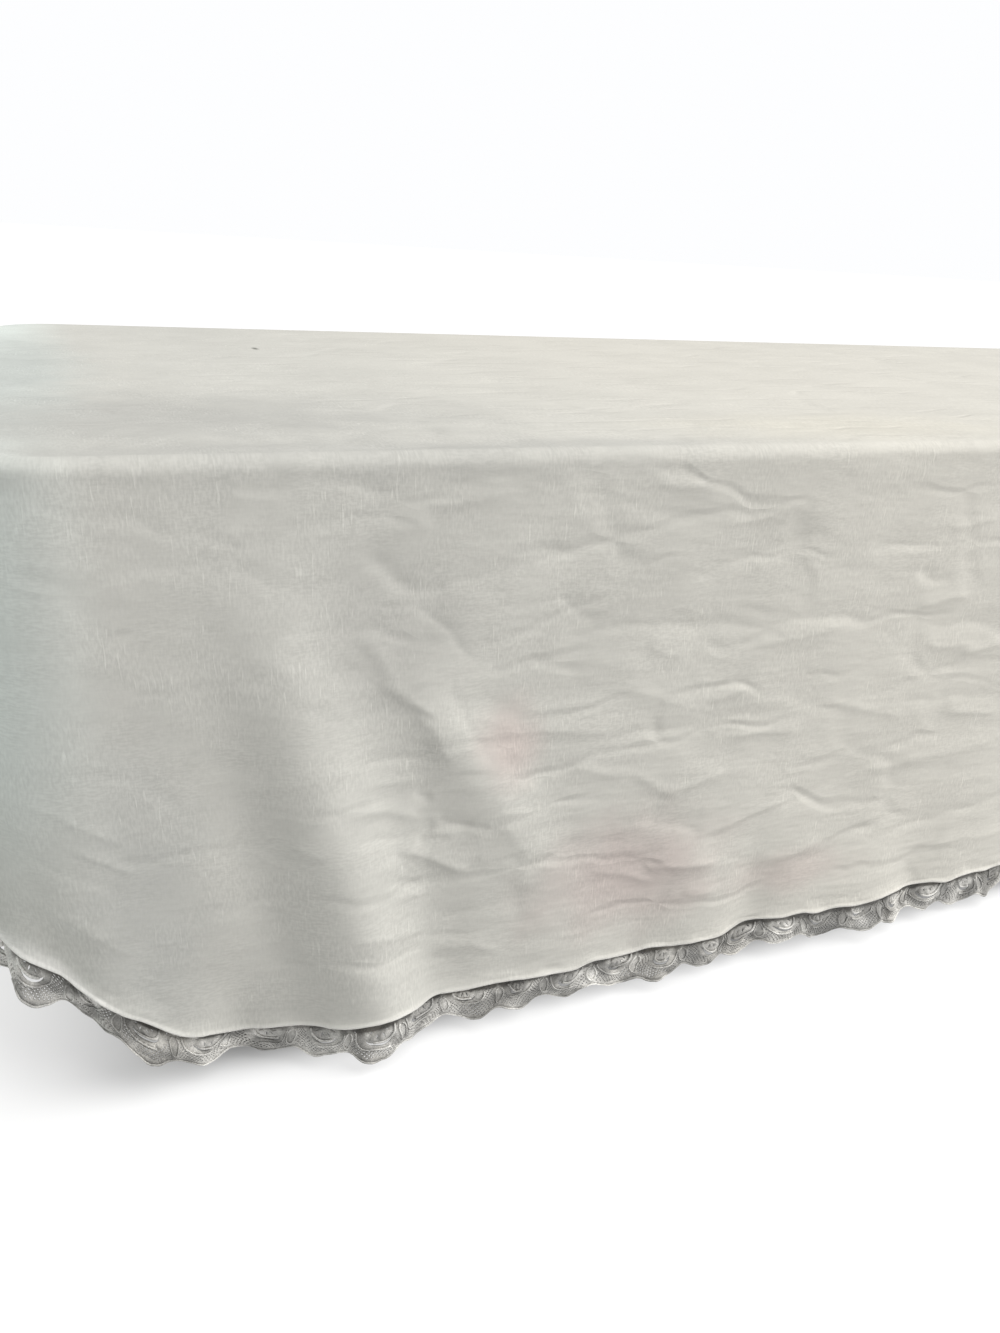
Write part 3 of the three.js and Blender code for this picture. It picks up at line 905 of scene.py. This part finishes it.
def lace_sheet(first, last):
    """The pierced sheet of a whole length: repeats welded at their sides, with a back face and rims."""
    tiles = [lace_tile(fan) for fan in range(len(FANS))]
    numbers = {}
    flat = []
    flat_tones = []
    fronts = []
    for repeat in range(first, last):
        vertices, triangles, tones = tiles[fan_of(repeat)]
        shifted = vertices + np.array([repeat * SCALLOP_PITCH, 0.0])
        local = []
        for (q, w), tone in zip(shifted, tones):
            key = (round(q * WELD_STEPS), round(w * WELD_STEPS))
            if key not in numbers:
                numbers[key] = len(flat)
                flat.append((q, w))
                flat_tones.append(tone)
            local.append(numbers[key])
        fronts.extend(tuple(local[k] for k in triangle) for triangle in triangles)
    count = len(flat)
    points = [(q, w, 0.0) for q, w in flat] + [(q, w, -LACE_SHEET) for q, w in flat]
    rims = {}
    for a, b, c in fronts:
        for start, end in ((a, b), (b, c), (c, a)):
            if rims.pop((end, start), None) is None:
                rims[(start, end)] = True
    faces = [tuple(reversed(face)) for face in fronts]
    faces.extend(tuple(k + count for k in face) for face in fronts)
    faces.extend((start, end, end + count, start + count) for start, end in rims)
    return points, faces, flat_tones + flat_tones


# Small crumples of the lace: length along the hem in scallops, reach, phase
CRUMPLES = (
    (0.83, 1.2, 1.3),
    (0.47, 0.5, 0.4),
)
CRUMPLE_POWER = 1.3
RUFFLE_CALM = 0.6
BULGE = 2.6
BULGE_LENGTH = 37.0
BULGE_ROWS = 2.0
BULGE_SEED = 51
# Dents of the lace, the pull on its pattern and its uneven depth: reach, length, depth, seed
DENT = (5.0, 12.0, 9.0, 54)
PULL = (12.0, 17.0, 17.0, 52)
UNEVEN_DEPTH = (0.36, 41.0, 1.0, 53)
MEAN_DEEPER = 0.15


def waves(rows, q):
    turns = 2 * math.pi * q / SCALLOP_PITCH
    return sum(reach * np.sin(turns / length + phase) for length, reach, phase in rows)


def ruffle(q, w):
    """How far the lace stands off the line of the hem. Its waves are the solids' waves, made calmer."""
    share = np.maximum(w, 0.0) / LACE_TIP
    wave = RUFFLE_CALM * waves(RUFFLES, q) * share**RUFFLE_POWER
    crumple = waves(CRUMPLES, q) * share**CRUMPLE_POWER
    belly = np.sin(math.pi * np.minimum(share, 1.0))
    swell = BULGE * lattice_noise(q / BULGE_LENGTH, share * BULGE_ROWS, BULGE_SEED) * belly
    return wave + crumple + swell + uneven(q, w, *DENT) * belly


def crumpled(q, w):
    """The lace's pattern pulled out of true below the hem, as crumpled lace hangs."""
    below = np.sin(math.pi * np.clip(w / scallop_edge(q), 0.0, 1.0))
    deeper = MEAN_DEEPER + uneven(q, np.zeros_like(w), *UNEVEN_DEPTH)
    return q + uneven(q, w, *PULL) * below, w * np.where(w > 0.0, 1.0 + deeper, 1.0)


def along_hem(values, q):
    wrapped = np.mod(q, HEM_LENGTH)
    return np.stack([np.interp(wrapped, hem_lengths, values[:, k]) for k in range(3)], axis=-1)


def on_hem(flat):
    """Flat lace points carried to the hem."""
    q, w, lift = np.asarray(flat).T
    q, w = crumpled(q, w)
    normals = unit(along_hem(hem_normals, q))
    downs = unit(along_hem(hem_downs, q))
    out = ruffle(q, w) + lift - LACE_BEHIND
    return along_hem(hem_points, q) + downs * w[:, None] + normals * out[:, None]


# Cords round each fan: how far outside it, from and to (degrees), way they turn, radius, lift, tone
FAN_CORDS = (
    (0.6, 4.0, 116.0, 1, 0.8, 0.6, 0.75),
    (CRESCENT_DEPTH + 3.6, 70.0, 172.0, -1, 0.6, 0.5, 0.65),
)
FAN_CORD_POINTS = 13
SCROLL_TURN = 56.0
# Cords round a leaf and along the edge: radius, lift, tone
LEAF_CORD = (0.55, 0.5, 0.85)
EDGE_CORD = (0.75, 0.1, 0.75)
LEAF_POINTS = 14
LEAF_TURN = 0.2
EDGE_CORD_POINTS = 22
EDGE_CORD_MARGIN = 0.8
EDGE_CORD_RISE = 0.2
PICOTS = 18
PICOT_DEPTH = 0.5


def make_lace(name, first, last):
    pitch = SCALLOP_PITCH
    parts = [lace_sheet(first, last)]
    for repeat in range(first, last):
        shift = np.array([repeat * pitch, 0.0])
        fan = fan_of(repeat)
        turn = SCROLL_TURN if fan % 2 else 0.0
        for widen, start, end, way, *form in FAN_CORDS:
            angles = np.linspace(start + way * turn, end + way * turn, FAN_CORD_POINTS)
            parts.append(cord(fan_arc(fan, angles, widen, widen) + shift, *form))
    turn = np.linspace(0.0, 2 * math.pi, LEAF_POINTS + 1)[:-1] + LEAF_TURN
    leaf = np.stack([LEAF_HALF_WIDTH * np.sin(turn), LEAF_DROP - LEAF_HALF_DEPTH * np.cos(turn)], axis=-1)
    for repeat in range(first + 1, last):
        parts.append(cord(leaf + np.array([repeat * pitch, 0.0]), *LEAF_CORD))
    margin = EDGE_CORD_MARGIN
    edge_q = np.linspace(first * pitch + margin, last * pitch - margin, (last - first) * EDGE_CORD_POINTS)
    picots = PICOT_DEPTH * np.abs(np.sin(math.pi * edge_q / pitch * PICOTS))
    edge_path = np.stack([edge_q, scallop_edge(edge_q) - EDGE_CORD_RISE + picots], axis=-1)
    parts.append(cord(edge_path, *EDGE_CORD))
    points, faces, tones = [], [], []
    for part_points, part_faces, part_tones in parts:
        faces.extend(tuple(len(points) + int(k) for k in face) for face in part_faces)
        points.extend(part_points)
        tones.extend(part_tones)
    return add_mesh(name, on_hem(points), faces, tones=tones)


cloth = make_bedspread()

# Two lengths of lace meet at the scallop nearest each corner's middle
lace_nodes = ("lace_front", "lace_head", "lace_back", "lace_foot")
lace_ends = np.interp(SIDE_CORNERS, hem_places, hem_lengths) / SCALLOP_PITCH
lace_ends = [int(end) for end in np.round(lace_ends)]
lace_starts = [lace_ends[FOOT] - SCALLOPS, *lace_ends[:FOOT]]
lace_lengths = zip(lace_nodes, lace_starts, lace_ends)
lace_pieces = [make_lace("bedspread_" + node, start, end) for node, start, end in lace_lengths]


def node_maths(operation):
    def joined(signal, other):
        kind = "Math" if signal.socket.type == "VALUE" else "VectorMath"
        return signal.shader.node(kind, 0, {"operation": operation}, i0=signal, i1=other)

    return joined


class Signal:
    """An output in a node tree. Arithmetic and ramps on it add the nodes that work them out."""

    __add__ = node_maths("ADD")
    __sub__ = node_maths("SUBTRACT")
    __mul__ = node_maths("MULTIPLY")

    def __init__(self, shader, socket):
        self.shader = shader
        self.socket = socket

    def axis(self, number):
        return self.shader.node("SeparateXYZ", number, Vector=self)

    def noise(self, scale=1.0, detail=2.0, roughness=0.5, output="Fac"):
        inputs = {"Scale": scale, "Detail": detail, "Roughness": roughness}
        return self.shader.node("TexNoise", output, Vector=self, **inputs)

    def mix(self, a, b):
        """From one colour to another as this goes from 0 to 1."""
        return self.shader.node("Mix", 2, {"data_type": "RGBA"}, i0=self, i6=a, i7=b)

    def ramp(self, low, high, to_low=0.0, to_high=1.0):
        ends = {"From_Min": low, "From_Max": high, "To_Min": to_low, "To_Max": to_high}
        return self.shader.node("MapRange", 0, {"interpolation_type": "SMOOTHSTEP"}, Value=self, **ends)


class Shader:
    """The node tree of a material or the world, with short calls for the nodes used here."""

    def __init__(self, name, library=bpy.data.materials, surface="Principled BSDF"):
        self.owner = library.new(name)
        self.owner.use_nodes = True
        self.nodes = self.owner.node_tree.nodes
        self.links = self.owner.node_tree.links
        self.surface = self.nodes[surface]

    def node(self, kind, output=0, settings=None, **inputs):
        """Adds a node and gives one of its outputs. Inputs go by name, or by number as in i0."""
        made = self.nodes.new("ShaderNode" + kind)
        for key, value in (settings or {}).items():
            setattr(made, key, value)
        for key, value in inputs.items():
            self.feed(made.inputs[int(key[1:]) if key[1:].isdigit() else key.replace("_", " ")], value)
        return Signal(self, made.outputs[output])

    def feed(self, socket, value):
        if isinstance(value, Signal):
            self.links.new(value.socket, socket)
        else:
            socket.default_value = (*value, 1.0) if socket.type == "RGBA" else value

    def set(self, **inputs):
        for key, value in inputs.items():
            self.feed(self.surface.inputs[key.replace("_", " ")], value)

    def spot(self):
        return self.node("TexCoord", "Object")

    def tone(self):
        return self.node("Attribute", "Fac", {"attribute_name": "tone"})

    def bump(self, height, strength, distance):
        self.set(Normal=self.node("Bump", Height=height, Strength=strength, Distance=distance))

    def use_on(self, piece):
        piece.data.materials.clear()
        piece.data.materials.append(self.owner)


STRAIGHT_FROM = (BED_LENGTH / 2 - CORNER_RADIUS) * MM
CLOTH_COLOUR = (0.486, 0.480, 0.446)
# Painted light: a cool tint by the left end and a warmer, lighter colour to the right stand in for the
# lamps' colour and fall-off
COOL_LIGHT_COLOUR = (0.60, 0.65, 0.62)
COOL_LIGHT_SHARE = 0.8
WARM_LIGHT_COLOUR = (0.545, 0.527, 0.478)
WARM_LIGHT_SHARE = 0.8
# Painted highlight: the pale colour of the hem's edge and of a lit fold at one corner
HEM_HIGHLIGHT_COLOUR = (0.82, 0.81, 0.78)
HEM_HIGHLIGHT_SHARE = 0.6

# Faint stains, and patches of painted shade and painted light marked below: (along, down or up from the
# edge), half widths, colour, strength. Up the top is positive.
STAINS_AND_PAINTED_LIGHT = (
    ((296, -219), (36, 46), (0.48, 0.375, 0.352), 0.45),
    # Painted shade: a darker patch beside the main fold
    ((205, -128), (80, 75), (0.425, 0.418, 0.39), 0.7),
    ((410, -354), (125, 74), (0.435, 0.352, 0.335), 0.55),
    ((580, -385), (90, 32), (0.47, 0.385, 0.362), 0.4),
    # Painted light: a warmer, lighter patch on the right of the top
    ((640, 78), (240, 90), (0.55, 0.525, 0.45), 0.45),
    # Painted shade: darker towards the hem by the left end
    ((25, -310), (58, 190), (0.40, 0.41, 0.395), 0.35),
    # Painted shade: a darker strip along the front of the top
    ((30, 145), (380, 168), (0.385, 0.382, 0.36), 0.85),
    # Painted shade: a darker band over the rounded front edge, which damps its highlight
    ((190, 16), (420, 42), (0.385, 0.382, 0.36), 0.75),
    # Painted shade: a cool grey patch on the top by the foot end
    ((-40, 420), (90, 380), (0.42, 0.44, 0.42), 0.9),
    ((221, 635), (5, 17), (0.12, 0.12, 0.105), 0.9),
)
PATCH_RAGGED = 0.7
PATCH_EDGE = (1.45, 0.45)

# Noise of the cloth, for each metre of it along and down
WARP = (640.0, 190.0, 1.0)
WEFT = (190.0, 640.0, 1.0)
SLUBS = (480.0, 60.0, 1.0)
BROAD_CRUMPLES = (14.0, 52.0, 1.0)
FINE_CRUMPLES = (34.0, 130.0, 1.0)
PRESSED_LINES = (7.0, 25.0, 1.0)
THREAD_DRIFT = (0.0016, 0.0016, 0.0)
PRESSED_DRIFT = (0.09, 0.05, 0.0)
WEFT_SHIFT = (3.7, 1.3, 0.0)
HALF = (0.5, 0.5, 0.5)


def drifted(uv, scale, detail, reach):
    """Places on the cloth, pushed about by noise."""
    return uv + (uv.noise(scale, detail, output="Color") - HALF) * reach


def cloth_weave(uv, threads):
    """How proud the threads stand, and where one is thick."""
    patchy = uv.noise(17.0)
    patchy_weft = (uv + WEFT_SHIFT).noise(17.0)
    warp = ((threads * WARP).noise() - 0.5) * patchy.ramp(0.4, 0.62, 0.25, 1.0)
    weft = ((threads * WEFT).noise() - 0.5) * patchy_weft.ramp(0.44, 0.66, 0.2, 0.9)
    thick = (threads * SLUBS).noise(detail=0.0).ramp(0.64, 0.82) * patchy.ramp(0.42, 0.62)
    return warp + weft, thick


def cloth_colour_and_painted_light(uv, from_left, hem):
    """Painted light: cool light by the left end, and warmer, lighter light to the right; then stains,
    patches of painted shade and light, and a painted highlight along the hem.
    """
    # Painted light: lighter and warmer to the right, cool by the left end
    colour = from_left.ramp(0.1, 0.75, 0.0, WARM_LIGHT_SHARE).mix(CLOTH_COLOUR, WARM_LIGHT_COLOUR)
    cool_light = from_left.ramp(0.03, -0.065) * uv.axis(1).ramp(-0.34, -0.14, 0.15, 1.0)
    cool_light = cool_light * from_left.ramp(-0.06, -0.085, 1.0, 0.3)
    colour = (cool_light * COOL_LIGHT_SHARE).mix(colour, COOL_LIGHT_COLOUR)
    past_corner = uv.axis(0).ramp(-0.105, -0.06)
    ragged = uv.noise(24.0, 3.0) * PATCH_RAGGED
    # Stains, and patches of painted shade and painted light
    for (along, up), (half_length, half_depth), tint, strength in STAINS_AND_PAINTED_LIGHT:
        offset = uv - (along * MM, up * MM, 0.0)
        offset = offset * (1 / (half_length * MM), 1 / (half_depth * MM), 0.0)
        far = uv.shader.node("VectorMath", "Value", {"operation": "LENGTH"}, i0=offset)
        share = (far + ragged).ramp(*PATCH_EDGE, 0.0, strength) * past_corner
        colour = share.mix(colour, tint)
    # Painted highlight along the hem, from the tone attribute
    return (hem * HEM_HIGHLIGHT_SHARE).mix(colour, HEM_HIGHLIGHT_COLOUR)


def cloth_crumples(uv, threads, from_left):
    """The height of soft crumples and pressed lines, which are faint by the left end."""
    broad = (threads * BROAD_CRUMPLES).noise() * 0.75
    fine = (threads * FINE_CRUMPLES).noise(detail=1.0) * 0.3
    settings = {"feature": "DISTANCE_TO_EDGE", "voronoi_dimensions": "2D"}
    bent = drifted(uv, 11.0, 2.0, PRESSED_DRIFT) * PRESSED_LINES
    pressed = uv.shader.node("TexVoronoi", "Distance", settings, Vector=bent, Scale=1.0)
    pressed = pressed.ramp(0.0, 0.16, -0.5, 0.0) * uv.noise(8.0, 1.0).ramp(0.4, 0.6)
    creased = from_left.ramp(0.12, 0.36, 0.5, 1.0) * from_left.ramp(0.6, 0.75, 1.0, 0.88)
    return (broad + fine + pressed) * creased * uv.axis(1).ramp(-0.2, -0.33, 1.0, 1.3)


def cloth_material():
    shader = Shader("bedspread_cloth")
    uv = shader.node("UVMap", 0, {"uv_map": "cloth"})
    from_left = shader.spot().axis(0) + STRAIGHT_FROM
    threads = drifted(uv, 20.0, 1.0, THREAD_DRIFT)
    thread, thick = cloth_weave(uv, threads)
    mottle = uv.noise(9.0, 3.0).ramp(0.3, 0.7, 0.965, 1.02)
    cloud = (uv.noise(85.0) - 0.5) * 0.08 + (uv.noise(37.0, 1.0) - 0.5) * 0.07
    cloud = cloud * from_left.ramp(0.2, 0.45, 1.0, 0.45)
    shade = thread.ramp(-0.17, 0.17, 0.94, 1.055) * mottle + thick * 0.11 + cloud
    shader.set(Base_Color=cloth_colour_and_painted_light(uv, from_left, shader.tone()) * shade, Roughness=0.94)
    shader.set(Sheen_Weight=0.05, Sheen_Roughness=0.55, Specular_IOR_Level=0.2)
    crumples = cloth_crumples(uv, threads, from_left)
    shader.bump(thread * 0.03 + thick * 0.04 + crumples, 0.8, 0.0022)
    return shader


LACE_COLOUR = (0.46, 0.45, 0.425)
LACE_PALE = (0.70, 0.69, 0.66)
# Painted shadow of the hem on the lace's heading, near black
LACE_SHADOW_COLOUR = (0.05, 0.046, 0.04)
LACE_AGED = (0.30, 0.285, 0.255)


def lace_material():
    shader = Shader("bedspread_lace")
    tone = shader.tone()
    spot = shader.spot()
    thread = spot.noise(900.0)
    aged = spot.noise(14.0, 3.0)
    # Painted shadow of the hem: the heading's dark tones turn near black, in patches
    heading_shadow = tone.ramp(0.0, -0.9) * aged.ramp(0.3, 0.6, 0.45, 1.0)
    colour = heading_shadow.mix(tone.mix(LACE_COLOUR, LACE_PALE), LACE_SHADOW_COLOUR)
    colour = aged.ramp(0.45, 0.7, 0.0, 0.45).mix(colour, LACE_AGED)
    shade = thread.ramp(0.3, 0.7, 0.78, 1.15) * spot.noise(46.0).ramp(0.34, 0.66, 0.52, 1.22)
    shader.set(Base_Color=colour * shade, Roughness=0.85)
    shader.set(Sheen_Weight=0.2, Sheen_Roughness=0.5, Specular_IOR_Level=0.25)
    shader.bump(thread, 0.4, 0.0005)
    return shader


def bed_cover_material(name, colour, darker, scale):
    shader = Shader(name)
    spot = shader.spot()
    along = scale * 0.06
    warp = (spot * (scale, scale, along)).noise(detail=1.0)
    weft = (spot * (along, along, scale)).noise(detail=1.0)
    thread = (warp + weft) * 0.5
    cover = thread.ramp(0.35, 0.65).mix(darker, colour)
    cover = spot.noise(5.0, 3.0).ramp(0.4, 0.8, 0.0, 0.3).mix(cover, darker)
    shader.set(Base_Color=cover, Roughness=0.9, Sheen_Weight=0.1, Specular_IOR_Level=0.25)
    shader.bump(thread, 0.4, 0.0006)
    return shader


WOOD_DARK = (0.17, 0.105, 0.06)
WOOD_PALE = (0.34, 0.225, 0.135)
WOOD_FIGURE = (0.23, 0.145, 0.08)
GRAIN = (3.0, 60.0, 60.0)
FIGURE = (1.2, 9.0, 9.0)


def plinth_material():
    shader = Shader("plinth_wood")
    spot = shader.spot()
    grain = (spot * GRAIN).noise(1.0, 4.0, 0.6)
    figure = (spot * FIGURE).noise(1.0, 3.0).ramp(0.4, 0.7, 0.0, 0.5)
    wood = figure.mix(grain.ramp(0.3, 0.7).mix(WOOD_DARK, WOOD_PALE), WOOD_FIGURE)
    shader.set(Base_Color=wood, Roughness=grain.ramp(0.3, 0.7, 0.6, 0.45))
    shader.bump(grain, 0.25, 0.0008)
    return shader


cloth_material().use_on(cloth)
lace_shader = lace_material()
for piece in lace_pieces:
    lace_shader.use_on(piece)
mattress_cover = bed_cover_material("mattress_cover", (0.76, 0.74, 0.68), (0.66, 0.64, 0.58), 900.0)
base_cover = bed_cover_material("base_cover", (0.50, 0.47, 0.41), (0.36, 0.34, 0.29), 600.0)
mattress_cover.use_on(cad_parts["mattress"])
base_cover.use_on(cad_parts["bed_base"])
plinth_material().use_on(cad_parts["bed_plinth"])

# The pieces stand for the soft solids
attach(cloth, "root")
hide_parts("bedspread")
for piece, node in zip(lace_pieces, lace_nodes):
    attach(piece, "root")
    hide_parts(node)

# Camera at the photograph's angle
CAMERA_PLACE = (-0.866, -1.0883, 0.6089)
CAMERA_YAW = math.radians(23.51)
CAMERA_PITCH = math.radians(22.73)
CAMERA_ROLL = math.radians(-3.51)
CAMERA_SENSOR = 36.0
CAMERA_LENS = 36.0
camera_data = bpy.data.cameras.new("camera")
camera_data.sensor_fit = "HORIZONTAL"
camera_data.sensor_width = CAMERA_SENSOR
camera_data.lens = CAMERA_LENS
camera_data.clip_start = 0.02
camera_data.clip_end = 400.0
camera = bpy.data.objects.new("camera", camera_data)
aimed = Matrix.Rotation(-CAMERA_YAW, 4, "Z") @ Matrix.Rotation(math.pi / 2 - CAMERA_PITCH, 4, "X")
aimed = aimed @ Matrix.Rotation(-CAMERA_ROLL, 4, "Z")
camera.matrix_world = Matrix.Translation(CAMERA_PLACE) @ aimed
bpy.context.collection.objects.link(camera)
bpy.context.scene.camera = camera

# Pale floor that glows, a painted light that lifts its shadows; the glow comes back from the first to the
# second distance from the bed's middle, so that the floor under the bed is a painted shadow
FLOOR_HALF = 120000.0
FLOOR_TINTS = ((0.20, 0.20, 0.20), (0.21, 0.21, 0.21))
FLOOR_PAINTED_LIGHT = 0.76
PAINTED_SHADOW_ALONG = (0.70, 1.0)
PAINTED_SHADOW_ACROSS = (0.43, 0.485)
floor_corners = [(x * FLOOR_HALF, y * FLOOR_HALF, 0.0) for x, y in ((-1, -1), (1, -1), (1, 1), (-1, 1))]
floor = add_mesh("floor", floor_corners, [(0, 1, 2, 3)])
floor_shader = Shader("floor_pale")
floor_spot = floor_shader.spot()
floor_tint = floor_spot.noise(3.0).mix(*FLOOR_TINTS)
beside = floor_shader.node("VectorMath", 0, {"operation": "ABSOLUTE"}, i0=floor_spot)
under_bed_shadow = beside.axis(0).ramp(*PAINTED_SHADOW_ALONG, 1.0, 0.0) * beside.axis(1).ramp(*PAINTED_SHADOW_ACROSS, 1.0, 0.0)
painted_floor_light = under_bed_shadow * -FLOOR_PAINTED_LIGHT + FLOOR_PAINTED_LIGHT
floor_shader.set(Base_Color=floor_tint, Roughness=0.95, Specular_IOR_Level=0.1)
# Painted light: the floor glows though it is no lamp, except in the painted shadow under the bed
floor_shader.set(Emission_Color=(1.0, 1.0, 1.0), Emission_Strength=painted_floor_light)
floor_shader.use_on(floor)

# Soft studio light: a broad key, and panels as name, place, what they face, size, power, colour
KEY_FROM = Vector((0.42, -0.215, 0.882))
KEY_STRENGTH = 4.4
KEY_COLOUR = (1.0, 0.995, 0.985)
KEY_ANGLE = math.radians(52.0)
PANELS = (
    ("right_panel", (1.6, -1.5, 1.2), (-0.2, -0.45, 0.25), 1.1, 17.0, (1.0, 0.985, 0.96)),
    ("left_panel", (-2.4, -0.25, 0.7), (-0.95, -0.45, 0.25), 0.9, 4.5, (0.86, 1.0, 0.93)),
)


def add_light(name, kind, energy, colour, direction):
    data = bpy.data.lights.new(name, kind)
    data.energy = energy
    data.color = colour
    light = bpy.data.objects.new(name, data)
    light.rotation_mode = "QUATERNION"
    light.rotation_quaternion = direction.to_track_quat("Z", "Y")
    bpy.context.collection.objects.link(light)
    return light


key = add_light("key", "SUN", KEY_STRENGTH, KEY_COLOUR, KEY_FROM)
key.data.angle = KEY_ANGLE
for name, place, target, size, power, colour in PANELS:
    panel = add_light(name, "AREA", power, colour, Vector(place) - Vector(target))
    panel.data.size = size
    panel.location = place

# The sky shines less on the scene than the camera sees of it
SKY_COLOUR = (0.985, 0.99, 1.0)
SKY_SEEN = 1.0
SKY_LIGHT = 0.16
sky = Shader("studio", bpy.data.worlds, "Background")
is_camera_ray = sky.node("LightPath", "Is Camera Ray")
sky.set(Color=SKY_COLOUR, Strength=is_camera_ray.ramp(0.0, 1.0, SKY_LIGHT, SKY_SEEN))
bpy.context.scene.world = sky.owner
bpy.context.scene.view_settings.view_transform = "Standard"
